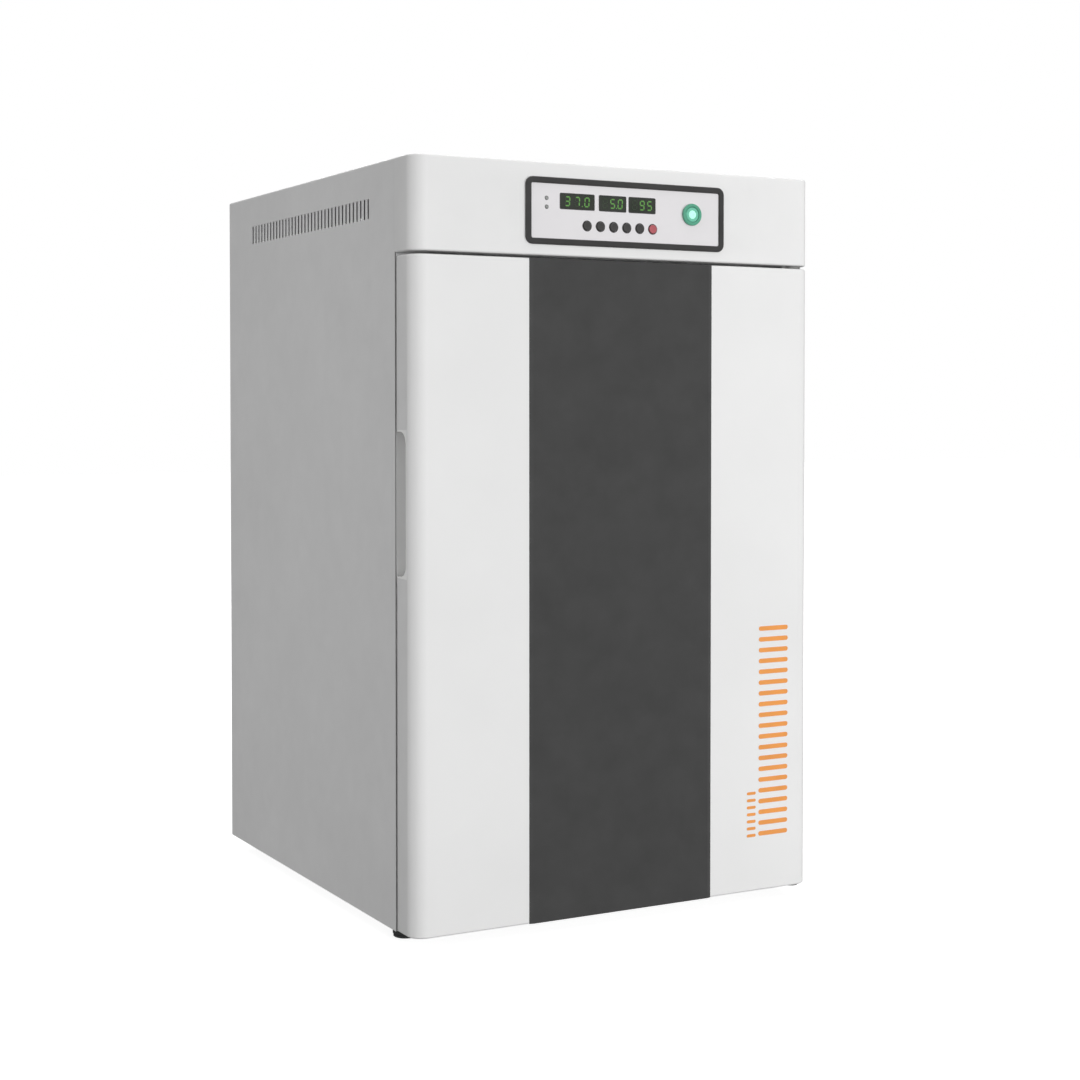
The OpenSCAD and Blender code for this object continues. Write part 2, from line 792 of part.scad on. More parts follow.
// Cup with a quarter-round scoop, open to the side and to the rear
module door_handle_cup() {
  x1 = -half_w + grip_r + cup_wall;
  color("whitesmoke") difference() {
    block([-half_w, y_door - grip_r - cup_wall, grip_z0 - cup_wall], [x1, y_door, grip_z1 + cup_wall]);
    rod_z(-half_w, y_door, grip_z0, grip_z1, grip_r);
  }
}

module door_hinge_bushes() {
  color("white") {
    ring_z(hinge_x, hinge_y, door_z0 - 0.7, door_z0 + 22, bush_r, hinge_pin_r + running);
    ring_z(hinge_x, hinge_y, door_z1 - 22, door_z1 + 0.7, bush_r, hinge_pin_r + running);
  }
}

// Plate with a rounded nose round the pin, and a leg screwed behind the front frame
module hinge_plate(z0, z1) {
  translate([0, 0, z0]) linear_extrude(z1 - z0) {
    translate([bracket_x0, hinge_y]) square([bracket_x1 - bracket_x0, y_frame + bracket_t - hinge_y]);
    translate([hinge_x, hinge_y]) circle(hinge_nose_r);
  }
}

module door_hinge_brackets() {
  color("silver") {
    hinge_plate(z_header - bracket_t, z_header);
    block([bracket_x0, y_frame, z_header - bracket_leg],
          [bracket_x1, y_frame + bracket_t, z_header]);
    rod_z(hinge_x, hinge_y, door_z1 - 21, z_header - bracket_t, hinge_pin_r);
    hinge_plate(z_base - bracket_t, z_base);
    block([bracket_x0, y_frame, z_base - bracket_t],
          [bracket_x1, y_frame + bracket_t, z_base + bracket_leg]);
    rod_z(hinge_x, hinge_y, z_base, door_z0 + 21, hinge_pin_r);
  }
}

// ---------- feet ----------

// Glide with a hexagon to turn it by and a stud that screws into the base
module foot(x, y) {
  pad_h = 7;
  cone_h = 2;
  z_hex = pad_h + cone_h;
  color("dimgray") {
    rod_z(x, y, 0, pad_h, foot_r);
    translate([x, y, pad_h]) cylinder(h = cone_h, r1 = foot_r, r2 = foot_r - 4);
    translate([x, y, z_hex]) cylinder(h = foot_h - z_hex - 0.5, r = 10, $fn = 6);
    rod_z(x, y, z_hex, z_base + 36, stud_r);
  }
}

// ---------- services ----------

// Bulkhead fitting with a hose tail
module gas_inlet() {
  color("goldenrod") difference() {
    union() {
      rod_y(gas_x, gas_z, y_panel_in - fitting_in, y_panel, fitting_r);
      translate([gas_x, y_panel, gas_z]) rotate([-90, 0, 0]) cylinder(h = 4, r = 9, $fn = 6);
      rod_y(gas_x, gas_z, y_panel + 4, y_rear - 1, barb_r);
    }
    rod_y(gas_x, gas_z, y_panel_in - fitting_in - 1, y_rear, 2);
  }
}

// Straight run of gas tube along Y
module gas_run(y0, y1) {
  rod_y(gas_x, gas_z, y0, y1, gas_tube_r);
}

// Disc filter and the gas tube from the bulkhead, through the valve, to the chamber's ceiling
module gas_line() {
  color("lightblue") {
    gas_run(filter_y[1], y_panel_in - fitting_in);
    rod_y(gas_x, gas_z, filter_y[0], filter_y[1], filter_r);
    gas_run(valve_y[1], filter_y[0]);
    gas_run(gas_y, valve_y[0]);
    translate([gas_x, gas_y, gas_z]) sphere(gas_tube_r);
    rod_x(gas_drop_x, gas_x, gas_y, gas_z, gas_tube_r);
    translate([gas_drop_x, gas_y, gas_z]) sphere(gas_tube_r);
    rod_z(gas_drop_x, gas_y, z_chamber + chamber_h, gas_z, gas_tube_r);
  }
}

// Valve body with its coil standing on top
module solenoid_valve() {
  color("darkslategray") {
    block([gas_x - 14, valve_y[0], z_deck + sheet_t], [gas_x + 14, valve_y[1], gas_z + 12]);
    rod_z(gas_x, (valve_y[0] + valve_y[1]) / 2, gas_z + 12, gas_z + 42, 12);
  }
}

// Three-pin appliance inlet
module power_inlet() {
  depth = 15;
  color("black") {
    difference() {
      union() {
        block([inlet_x - 20, y_panel, inlet_z - 15], [inlet_x + 20, y_panel + 2.5, inlet_z + 15]);
        block([inlet_x - inlet_half[0], y_panel - inlet_depth, inlet_z - inlet_half[1]],
              [inlet_x + inlet_half[0], y_panel, inlet_z + inlet_half[1]]);
      }
      block([inlet_x - 12, y_panel + 2.5 - depth, inlet_z - 8],
            [inlet_x + 12, y_panel + 4, inlet_z + 8]);
    }
    for (i = [-1:1])
      block([inlet_x + i * 7 - 1, y_panel + 2 - depth, inlet_z - (i == 0 ? 5 : 1)],
            [inlet_x + i * 7 + 1, y_panel - 2, inlet_z + (i == 0 ? 0 : 4)]);
  }
}

// Closed case with a finned heat sink on top
module power_supply() {
  fins = 9;
  fin_pitch = 17;
  fin_x = supply_x[0] + 6;
  color("silver") {
    block([supply_x[0], supply_y[0], z_deck + sheet_t], [supply_x[1], supply_y[1], supply_z]);
    for (i = [0:fins - 1])
      block([fin_x + i * fin_pitch, supply_y[0] + 6, supply_z],
            [fin_x + i * fin_pitch + 4, supply_y[1] - 6, supply_z + 8]);
  }
}

// Mains loom from the inlet up the rear channel to the power supply
module wiring_loom() {
  z1 = z_deck + 30;
  color("black") {
    rod_y(inlet_x, inlet_z, loom_y, y_panel - inlet_depth, loom_r);
    translate([inlet_x, loom_y, inlet_z]) sphere(loom_r);
    rod_z(inlet_x, loom_y, inlet_z, z1, loom_r);
    translate([inlet_x, loom_y, z1]) sphere(loom_r);
    rod_y(inlet_x, z1, supply_y[1], loom_y, loom_r);
  }
}

// Rubber buffers on the rear panel that keep the cabinet off a wall
module rear_bumpers() {
  w = 12;
  x = half_w - 2 * sheet_t - w / 2 - 3;
  color("black") for (s = [-1, 1], z = [z_base + 60, z_top - 60]) translate([s * x, 0, 0])
    slab_y(-w / 2, w / 2, z - 22, z + 22, y_panel, y_rear + proud, 3);
}

// ---------- what each node draws ----------

outer_shell();
back_panel();
panel_screws();
base_pan();
front_frame();
electronics_deck();
header_fascia();
control_bezel();
control_plate();
display_windows();
status_leds();
color("dimgray") key(0);  // key_1
color("dimgray") key(1);  // key_2
color("dimgray") key(2);  // key_3
color("dimgray") key(3);  // key_4
color("dimgray") key(4);  // key_5
color("indianred") key(5);  // key_6
power_button_bezel();
power_button_cap();
control_board();
chamber_liner();
chamber_seal();
insulation_jacket();
heater_pads();
rack_posts();
shelf_rails();
color("silver") shelf(0);  // shelf_lower
color("silver") shelf(1);  // shelf_middle
color("silver") shelf(2);  // shelf_upper
humidity_tray();
fan_duct_cover();
fan_impeller();
fan_motor();
chamber_sensors();
access_port_tube();
access_port_plug();
glass_pane();
glass_hinge_clips();
glass_hinge_brackets();
glass_pull();
magnet_catch();
door_outer_shell();
door_centre_panel();
door_inner_liner();
door_insulation();
door_gasket();
door_handle_cup();
door_hinge_bushes();
door_hinge_brackets();
foot(-foot_x[0], foot_y[0]);  // foot_front_left
foot(foot_x[0], foot_y[0]);  // foot_front_right
foot(-foot_x[1], foot_y[1]);  // foot_rear_left
foot(foot_x[1], foot_y[1]);  // foot_rear_right
gas_inlet();
gas_line();
solenoid_valve();
power_inlet();
power_supply();
wiring_loom();
rear_bumpers();
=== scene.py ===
"""Laboratory incubator: the looks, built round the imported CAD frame. Metres, +Z up, -Y the front."""
import json
import math

import bmesh
import bpy
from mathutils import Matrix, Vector

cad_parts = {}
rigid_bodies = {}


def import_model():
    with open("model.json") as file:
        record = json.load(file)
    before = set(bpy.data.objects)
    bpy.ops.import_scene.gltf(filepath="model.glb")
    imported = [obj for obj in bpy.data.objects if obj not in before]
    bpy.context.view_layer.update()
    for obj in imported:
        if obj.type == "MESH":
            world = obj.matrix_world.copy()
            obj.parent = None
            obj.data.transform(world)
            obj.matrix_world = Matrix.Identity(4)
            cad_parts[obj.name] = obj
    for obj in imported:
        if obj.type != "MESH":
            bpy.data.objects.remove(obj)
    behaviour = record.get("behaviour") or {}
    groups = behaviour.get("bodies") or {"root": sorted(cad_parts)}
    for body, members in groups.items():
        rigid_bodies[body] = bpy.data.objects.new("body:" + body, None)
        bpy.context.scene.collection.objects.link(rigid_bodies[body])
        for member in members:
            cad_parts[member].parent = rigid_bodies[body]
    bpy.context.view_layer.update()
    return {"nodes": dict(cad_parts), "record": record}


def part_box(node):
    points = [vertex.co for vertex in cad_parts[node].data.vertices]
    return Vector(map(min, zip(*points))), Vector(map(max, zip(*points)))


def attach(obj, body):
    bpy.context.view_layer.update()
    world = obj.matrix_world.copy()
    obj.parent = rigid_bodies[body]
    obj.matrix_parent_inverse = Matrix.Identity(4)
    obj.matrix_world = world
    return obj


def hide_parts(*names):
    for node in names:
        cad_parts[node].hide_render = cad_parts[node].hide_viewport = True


for stale in list(bpy.data.objects):
    bpy.data.objects.remove(stale, do_unlink=True)
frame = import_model()
NODES = frame["nodes"]
SLOT_OF = {row["node"]: row["material_slot"] for row in frame["record"]["subparts"]}
BODY_OF = {node: body for body, nodes in frame["record"]["behaviour"]["bodies"].items() for node in nodes}
MM = 0.001
CORNER_STEPS = 8
SCREW_STEPS = 30


# ---------- materials ----------

def add_node(nodes, kind, **values):
    """A new node with values on its inputs."""
    node = nodes.new(kind)
    for socket, value in values.items():
        node.inputs[socket.replace("_", " ").title()].default_value = value
    return node


class Finish:
    """A Principled material whose colour, roughness and relief come from noise in object space."""

    def __init__(self, name, metal=0.0, **sockets):
        self.material = bpy.data.materials.new(name)
        self.material.use_nodes = True
        self.nodes = self.material.node_tree.nodes
        self.links = self.material.node_tree.links
        self.shader = self.nodes["Principled BSDF"]
        self.shader.inputs["Metallic"].default_value = metal
        for socket, value in sockets.items():
            label = socket if socket.isupper() else socket.replace("_", " ").title()
            self.shader.inputs[label].default_value = value
        self.place = self.nodes.new("ShaderNodeTexCoord").outputs["Object"]
        self.relief = None

    def noise(self, scale, stretch=(1, 1, 1), detail=3.0):
        mapping = add_node(self.nodes, "ShaderNodeMapping", scale=stretch)
        self.links.new(self.place, mapping.inputs["Vector"])
        texture = add_node(self.nodes, "ShaderNodeTexNoise", scale=scale, detail=detail)
        self.links.new(mapping.outputs["Vector"], texture.inputs["Vector"])
        return texture.outputs["Fac"]

    def colour(self, factor, dark, light, low=0.35, high=0.65):
        ramp = self.nodes.new("ShaderNodeValToRGB")
        ramp.color_ramp.elements[0].position = low
        ramp.color_ramp.elements[1].position = high
        ramp.color_ramp.elements[0].color = (*dark, 1)
        ramp.color_ramp.elements[1].color = (*light, 1)
        self.links.new(factor, ramp.inputs["Fac"])
        self.links.new(ramp.outputs["Color"], self.shader.inputs["Base Color"])
        return self

    def roughness(self, factor, low, high):
        spread = add_node(self.nodes, "ShaderNodeMapRange", from_min=0.3, from_max=0.7,
                          to_min=low, to_max=high)
        self.links.new(factor, spread.inputs["Value"])
        self.links.new(spread.outputs["Result"], self.shader.inputs["Roughness"])
        return self

    def bump(self, factor, strength, depth):
        node = add_node(self.nodes, "ShaderNodeBump", strength=strength, distance=depth)
        self.links.new(factor, node.inputs["Height"])
        if self.relief:
            self.links.new(self.relief, node.inputs["Normal"])
        self.relief = node.outputs["Normal"]
        self.links.new(self.relief, self.shader.inputs["Normal"])
        return self

    def wear(self, colour, amount):
        """Patchy rubbing along the convex edges."""
        geometry = self.nodes.new("ShaderNodeNewGeometry")
        edge = add_node(self.nodes, "ShaderNodeMapRange", from_min=0.51, from_max=0.56, to_max=amount)
        self.links.new(geometry.outputs["Pointiness"], edge.inputs["Value"])
        patches = self.nodes.new("ShaderNodeMath")
        patches.operation = "MULTIPLY"
        self.links.new(edge.outputs["Result"], patches.inputs[0])
        self.links.new(self.noise(35, detail=5), patches.inputs[1])
        mix = self.nodes.new("ShaderNodeMix")
        mix.data_type = "RGBA"
        base = self.shader.inputs["Base Color"]
        self.links.new(patches.outputs["Value"], mix.inputs["Factor"])
        self.links.new(base.links[0].from_socket, mix.inputs["A"])
        mix.inputs["B"].default_value = (*colour, 1)
        self.links.new(mix.outputs["Result"], base)
        return self


def shade(colour, amount):
    return tuple(min(1.0, channel * amount) for channel in colour)


def paint(name, colour):
    """Powder coat: a faint orange peel, and soft handling marks in the gloss."""
    finish = Finish(name, coat_weight=0.15, coat_roughness=0.25)
    finish.colour(finish.noise(5, detail=5), shade(colour, 0.975), shade(colour, 1.015))
    finish.roughness(finish.noise(14, detail=6), 0.34, 0.46)
    finish.bump(finish.noise(420, detail=2), 0.10, 0.25 * MM)
    finish.bump(finish.noise(1900, detail=1), 0.05, 0.1 * MM)
    finish.wear(shade(colour, 0.8), 0.5)
    return finish.material


def plastic(name, colour, rough, grain=0.12, coat=0.0, mottle=0.06):
    """Moulded plastic: fine spark-eroded grain, slight mottling and edges rubbed a little paler."""
    finish = Finish(name, coat_weight=coat, coat_roughness=0.08)
    finish.colour(finish.noise(30, detail=5), shade(colour, 1 - mottle), shade(colour, 1 + mottle))
    finish.roughness(finish.noise(60, detail=5), rough - 0.05, rough + 0.07)
    finish.bump(finish.noise(2200, detail=2), grain, 0.12 * MM)
    finish.wear(tuple(0.85 * channel + 0.08 for channel in colour), 0.5)
    return finish.material


def metal(name, colour, rough, along="x", spangle=False):
    """Sheet metal brushed along one axis, or zinc with its spangle."""
    finish = Finish(name, metal=1.0, anisotropic=0.35)
    long, fine = 1.0, 60.0
    stretch = {"x": (long, fine, fine), "y": (fine, long, fine), "z": (fine, fine, long)}[along]
    streaks = finish.noise(14, stretch, detail=6)
    if spangle:
        cells = add_node(finish.nodes, "ShaderNodeTexVoronoi", scale=90)
        finish.links.new(finish.place, cells.inputs["Vector"])
        finish.colour(cells.outputs["Distance"], shade(colour, 0.86), shade(colour, 1.08), 0.1, 0.7)
    else:
        finish.colour(streaks, shade(colour, 0.93), shade(colour, 1.05))
    finish.roughness(streaks, rough - 0.06, rough + 0.09)
    finish.bump(streaks, 0.08, 0.05 * MM)
    finish.bump(finish.noise(9, detail=2), 0.10, 0.6 * MM)
    finish.wear(shade(colour, 1.25), 0.7)
    return finish.material


def rubber(name, colour):
    """Matte elastomer with a dusty bloom."""
    finish = Finish(name, sheen_weight=0.1, sheen_roughness=0.5)
    finish.colour(finish.noise(45, detail=6), shade(colour, 0.88), shade(colour, 1.18))
    finish.roughness(finish.noise(80, detail=4), 0.62, 0.82)
    finish.bump(finish.noise(1500, detail=3), 0.2, 0.15 * MM)
    finish.wear(tuple(0.8 * channel + 0.06 for channel in colour), 0.5)
    return finish.material


def blanket(name, colour):
    """Felted mineral fibre."""
    finish = Finish(name, sheen_weight=0.3, sheen_roughness=0.6)
    fibres = finish.noise(160, (1, 1, 7), detail=8)
    finish.colour(fibres, shade(colour, 0.72), shade(colour, 1.15))
    finish.roughness(fibres, 0.86, 0.98)
    finish.bump(fibres, 0.6, 1.2 * MM)
    return finish.material


def clear(name, colour, rough=0.02):
    """Glass or a translucent tube, with a trace of smears."""
    finish = Finish(name, transmission_weight=1.0, IOR=1.48)
    finish.colour(finish.noise(6, detail=4), shade(colour, 0.985), colour)
    finish.roughness(finish.noise(22, detail=6), max(rough - 0.02, 0.0), rough + 0.03)
    finish.bump(finish.noise(40, detail=2), 0.02, 0.05 * MM)
    return finish.material


def lit(name, colour, strength, base):
    """A lamp lens: coloured plastic that glows a little unevenly."""
    finish = Finish(name, coat_weight=0.5, coat_roughness=0.05, emission_strength=strength)
    finish.shader.inputs["Emission Color"].default_value = (*colour, 1)
    finish.colour(finish.noise(300, detail=3), shade(base, 0.9), shade(base, 1.1))
    finish.roughness(finish.noise(200, detail=3), 0.16, 0.26)
    finish.bump(finish.noise(900, detail=2), 0.05, 0.05 * MM)
    return finish.material


WHITE = (0.83, 0.83, 0.828)
MATERIALS = {
    "painted_shell": paint("painted_shell", (0.80, 0.80, 0.80)),
    "painted_front": paint("painted_front", WHITE),
    "dark_panel": plastic("dark_panel", (0.043, 0.043, 0.043), 0.42, grain=0.05, mottle=0.012),
    "bezel_grey": plastic("bezel_grey", (0.034, 0.033, 0.033), 0.48),
    "plate_grey": plastic("plate_grey", (0.76, 0.745, 0.76), 0.45, grain=0.05, mottle=0.010),
    "display_green": plastic("display_green", (0.012, 0.018, 0.009), 0.14, grain=0.0, coat=0.4),
    "led_lens": plastic("led_lens", (0.30, 0.31, 0.30), 0.15, grain=0.0, coat=0.6),
    "key_grey": plastic("key_grey", (0.055, 0.053, 0.052), 0.50),
    "key_red": plastic("key_red", (0.43, 0.11, 0.125), 0.48),
    "button_ring": plastic("button_ring", (0.085, 0.36, 0.235), 0.24, grain=0.03, coat=0.5),
    "button_cap": lit("button_cap", (0.30, 1.0, 0.70), 0.05, (0.15, 0.50, 0.36)),
    "board_green": plastic("board_green", (0.02, 0.16, 0.07), 0.35),
    "stainless": metal("stainless", (0.66, 0.655, 0.64), 0.30),
    "zinc_sheet": metal("zinc_sheet", (0.44, 0.455, 0.47), 0.46, spangle=True),
    "silicone": rubber("silicone", (0.66, 0.66, 0.65)),
    "insulation": blanket("insulation", (0.72, 0.62, 0.34)),
    "heater_mat": rubber("heater_mat", (0.55, 0.17, 0.04)),
    "white_plastic": plastic("white_plastic", (0.92, 0.92, 0.91), 0.42, mottle=0.02),
    "door_liner_white": plastic("door_liner_white", (0.80, 0.80, 0.79), 0.44, grain=0.01, mottle=0.008),
    "gasket_grey": rubber("gasket_grey", (0.17, 0.17, 0.175)),
    "black_plastic": plastic("black_plastic", (0.022, 0.022, 0.023), 0.45),
    "black_rubber": rubber("black_rubber", (0.025, 0.025, 0.025)),
    "motor_body": paint("motor_body", (0.06, 0.06, 0.062)),
    "window_glass": clear("window_glass", (0.93, 0.985, 0.965)),
    "brass_fitting": metal("brass_fitting", (0.80, 0.60, 0.27), 0.28, along="y"),
    "clear_tube": clear("clear_tube", (0.80, 0.90, 0.95), 0.22),
    # Alloy colour set darker than its own grey as painted shade, so the vent slots that show it look darker
    # and glint less
    "psu_alloy": metal("psu_alloy", (0.50, 0.51, 0.52), 0.45, along="y"),
}
GLOW = lit("display_glow", (0.30, 0.80, 0.16), 0.16, (0.08, 0.20, 0.05))
GHOST = plastic("display_ghost", (0.018, 0.032, 0.013), 0.3, grain=0.0)
CORE = lit("button_core", (0.45, 1.0, 0.78), 0.42, (0.38, 0.76, 0.61))
ACCENT = plastic("orange_accent", (0.86, 0.33, 0.07), 0.38, grain=0.05)


# ---------- mesh helpers ----------

def rounded(width, height, radius, steps=CORNER_STEPS):
    """Corner-rounded rectangle round the origin, anticlockwise."""
    radius = max(radius, 0.01 * MM)
    points = []
    for quarter, (sx, sy) in enumerate(((1, 1), (-1, 1), (-1, -1), (1, -1))):
        for step in range(steps + 1):
            angle = math.pi / 2 * (quarter + step / steps)
            points.append((sx * (width / 2 - radius) + radius * math.cos(angle),
                           sy * (height / 2 - radius) + radius * math.sin(angle)))
    return points


def circle(radius, steps=48):
    turn = 2 * math.pi / steps
    return [(radius * math.cos(turn * i), radius * math.sin(turn * i)) for i in range(steps)]


def quarter_turn(steps):
    """Angles from nothing to a right angle."""
    return [math.pi / 2 * i / steps for i in range(steps + 1)]


def shift(points, du, dv):
    return [(u + du, v + dv) for u, v in points]


def front(points, depth):
    """Outline in the XZ plane, at a depth along Y."""
    return [Vector((u, depth, v)) for u, v in points]


def level(points, height):
    """Outline in the XY plane, at a height."""
    return [Vector((u, v, height)) for u, v in points]


def side(points, depth):
    """Outline in the YZ plane, at a place along X."""
    return [Vector((depth, u, v)) for u, v in points]


def loft(rings, loop=False, caps=True):
    """Quads between rings of equal length, joined end to end or capped."""
    count = len(rings[0])
    verts = [point for one in rings for point in one]
    faces = []
    for i in range(len(rings) if loop else len(rings) - 1):
        a, b = i * count, (i + 1) % len(rings) * count
        faces += [(a + j, a + (j + 1) % count, b + (j + 1) % count, b + j) for j in range(count)]
    if caps and not loop:
        faces.append(tuple(range(count))[::-1])
        faces.append(tuple(range(len(verts) - count, len(verts))))
    return verts, faces


def framed(width, height, radius, section, place, loop=True, centre=(0, 0)):
    """A section of (outward offset, depth) points carried round a rounded rectangle."""
    rings = [place(shift(rounded(width + 2 * out, height + 2 * out, radius + out), *centre), depth)
             for out, depth in section]
    return loft(rings, loop=loop)


def turned(profile, place, centre, steps=48):
    """A lathe form: (distance along the axis, radius) points."""
    return loft([place(shift(circle(radius, steps), *centre), along) for along, radius in profile])


def spun(profile, centre, steps=48):
    """A lathe form along Y: (depth, radius in millimetres) points."""
    return turned([(depth, radius * MM) for depth, radius in profile], front, centre, steps)


def flat(loops, place, depth):
    """A flat face inside the first loop and outside the others."""
    mesh = bmesh.new()
    for outline in loops:
        ring = [mesh.verts.new(point) for point in place(outline, depth)]
        for i, vert in enumerate(ring):
            mesh.edges.new((vert, ring[(i + 1) % len(ring)]))
    bmesh.ops.triangle_fill(mesh, use_beauty=True, edges=mesh.edges[:])
    mesh.verts.index_update()
    faces = [tuple(v.index for v in face.verts) for face in mesh.faces]
    verts = [v.co.copy() for v in mesh.verts]
    mesh.free()
    return verts, faces


def pierced(loops, place, near, far):
    """A plate between two depths, inside the first loop and outside the others."""
    verts, faces = flat(loops, place, near)
    count = len(verts)
    verts = verts + flat(loops, place, far)[0]
    faces = faces + [tuple(i + count for i in face[::-1]) for face in faces]
    start = 0
    for outline in loops:
        n = len(outline)
        faces += [(start + i, start + (i + 1) % n, start + count + (i + 1) % n, start + count + i)
                  for i in range(n)]
        start += n
    return verts, faces


def block(low, high):
    """A box between two corners, for use inside a bigger piece."""
    (x0, y0, z0), (x1, y1, z1) = low, high
    outline = [(x0, y0), (x1, y0), (x1, y1), (x0, y1)]
    return loft([level(outline, z0), level(outline, z1)])


def placed(name, data):
    """A new object in the scene."""
    obj = bpy.data.objects.new(name, data)
    bpy.context.scene.collection.objects.link(obj)
    return obj


def soften(obj, width, segments=2, angle=35):
    """Welds a split mesh, rounds its sharp edges and evens its shading."""
    weld = obj.modifiers.new("weld", "WELD")
    weld.merge_threshold = 0.002 * MM
    if width:
        bevel = obj.modifiers.new("bevel", "BEVEL")
        bevel.width = width * MM
        bevel.segments = segments
        bevel.limit_method = "ANGLE"
        bevel.angle_limit = math.radians(angle)
        bevel.harden_normals = True
    weighted = obj.modifiers.new("normals", "WEIGHTED_NORMAL")
    weighted.keep_sharp = True
    weighted.weight = 60
    return obj


def piece(name, parts, material, body, replaces=(), bevel=0.0, segments=2, sheet=0.0, angle=35, grow=-1):
    """Joins parts into one object, gives it its finish and hangs it on its body.

    A sheet is thickened against its normals, or along them when grow is 1.
    """
    joined = bmesh.new()
    for verts, faces in parts:
        made = [joined.verts.new(point) for point in verts]
        for face in faces:
            try:
                joined.faces.new([made[i] for i in face])
            except ValueError:
                continue
    bmesh.ops.remove_doubles(joined, verts=joined.verts[:], dist=0.004 * MM)
    bmesh.ops.recalc_face_normals(joined, faces=joined.faces[:])
    for face in joined.faces:
        face.smooth = True
    mesh = bpy.data.meshes.new(name)
    joined.to_mesh(mesh)
    joined.free()
    obj = placed(name, mesh)
    if sheet:
        solid = obj.modifiers.new("sheet", "SOLIDIFY")
        solid.thickness = sheet * MM
        solid.offset = grow
        solid.use_even_offset = True
    soften(obj, bevel, segments, angle)
    slot_name = material if isinstance(material, str) else None
    obj.data.materials.append(MATERIALS[slot_name] if slot_name else material)
    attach(obj, body)
    if replaces:
        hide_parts(*replaces)
    return obj


def span(node):
    """Low and high corner of a CAD node as plain tuples."""
    low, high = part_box(node)
    return tuple(low), tuple(high)


def middle(node):
    low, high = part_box(node)
    return (low + high) / 2


def facing(low, high):
    """Middle of a box as seen from the front."""
    return (low[0] + high[0]) / 2, (low[2] + high[2]) / 2


# ---------- planes read from the frame ----------

SHELL_LO, SHELL_HI = span("outer_shell")
HEAD_LO, HEAD_HI = span("header_fascia")
DOOR_LO, DOOR_HI = span("door_outer_shell")
# Half the cabinet's width, and the plane of the door's front face
HALF = SHELL_HI[0]
FACE = DOOR_LO[1]
# Radius of the vertical front corners, and of the rolled edges above and below
CORNER = 18 * MM
ROLL = 2.2 * MM
# Thickness of the painted sheet, in millimetres
SHEET = 1.5
# Radius of the access port's opening, and the sensors' distance from the middle
PORT_R = 20 * MM
SENSOR_X = 130 * MM
PLATE_LO, PLATE_HI = span("control_plate")
PLATE_MID = middle("control_plate")


# ---------- painted skins ----------

def wrapped(z0, z1, rear, edge, heights=(), turn=(), face_xs=(), hole=None):
    """Outer surface of a front that folds round both corners, closed above and below."""
    arc = sorted(quarter_turn(14) + list(turn))
    roll = quarter_turn(5)

    def path(inset):
        half, bend = HALF - inset, CORNER - inset
        cx, cy = HALF - CORNER, FACE + CORNER
        left = [(-half, rear)] + [(-cx - bend * math.cos(a), cy - bend * math.sin(a)) for a in arc]
        face = [(x, FACE + inset) for x in face_xs]
        right = [(cx + bend * math.sin(a), cy - bend * math.cos(a)) for a in arc]
        return left + face + right + [(half, rear)]

    rows = [(z0 + edge * (1 - math.cos(a)), edge * (1 - math.sin(a))) for a in roll]
    rows += [(z, 0.0) for z in heights]
    rows += [(z1 - edge * (1 - math.cos(a)), edge * (1 - math.sin(a))) for a in roll[::-1]]
    verts = [Vector((x, y, z)) for z, inset in rows for x, y in path(inset)]
    count = len(path(0))
    faces = []
    for i in range(len(rows) - 1):
        for j in range(count - 1):
            quad = (i * count + j, i * count + j + 1, (i + 1) * count + j + 1, (i + 1) * count + j)
            centre = sum((verts[k] for k in quad), Vector()) / 4
            if not (hole and all(hole[0][k] < centre[k] < hole[1][k] for k in range(3))):
                faces.append(quad)
    faces.append(tuple(range(count))[::-1])
    faces.append(tuple(range(len(verts) - count, len(verts))))
    return verts, faces


def build_skins():
    """Header and door skins, cut out for the control plate and the grip cup."""
    reach = 5 * MM
    hole = ((PLATE_LO[0], FACE - reach, PLATE_LO[2]), (PLATE_HI[0], FACE + reach, PLATE_HI[2]))
    piece("header_skin",
          [wrapped(HEAD_LO[2], HEAD_HI[2], HEAD_HI[1] - 0.1 * MM, ROLL,
                   heights=(PLATE_LO[2], PLATE_HI[2]), face_xs=(PLATE_LO[0], PLATE_HI[0]), hole=hole)],
          "painted_front", "cabinet", ["header_fascia"], sheet=SHEET)
    cup_lo, cup_hi = span("door_handle_cup")
    hole = ((-HALF - reach, cup_lo[1], cup_lo[2]), (-HALF + reach, cup_hi[1] + reach, cup_hi[2]))
    notch = math.asin((FACE + CORNER - cup_lo[1]) / CORNER)
    piece("door_skin",
          [wrapped(DOOR_LO[2], DOOR_HI[2], DOOR_HI[1], ROLL, heights=(cup_lo[2], cup_hi[2]),
                   turn=(notch,), hole=hole)],
          "painted_front", "outer_door", ["door_outer_shell"], sheet=SHEET)


def build_cabinet():
    """Side sheets with their slotted vents, bent over into the top sheet."""
    bend = 2.5 * MM
    y0, y1, z0, z1 = SHELL_LO[1], SHELL_HI[1], SHELL_LO[2], SHELL_HI[2]
    slots, pitch, slot_w, slot_h = 36, 11 * MM, 5 * MM, 24 * MM
    vent_y, vent_z = FACE + 120 * MM + slot_w / 2, HEAD_LO[2] + 55 * MM
    wall = [(y0, z0), (y1, z0), (y1, z1 - bend), (y0, z1 - bend)]
    slot_round = slot_w * 0.42
    slot = rounded(slot_w, slot_h, slot_round, 4)
    vents = [shift(slot, vent_y + i * pitch, vent_z) for i in range(slots)]
    parts = [flat([wall] + vents, side, s * HALF) for s in (-1, 1)]
    over = [(-HALF + bend - bend * math.cos(a), z1 - bend + bend * math.sin(a)) for a in quarter_turn(6)]
    over += [(-x, z) for x, z in over[::-1]]
    verts = [Vector((x, y, z)) for x, z in over for y in (y0, y1)]
    parts.append((verts, [(2 * i, 2 * i + 1, 2 * i + 3, 2 * i + 2) for i in range(len(over) - 1)]))
    piece("cabinet_skin", parts, "painted_shell", "cabinet", ["outer_shell"], sheet=SHEET)


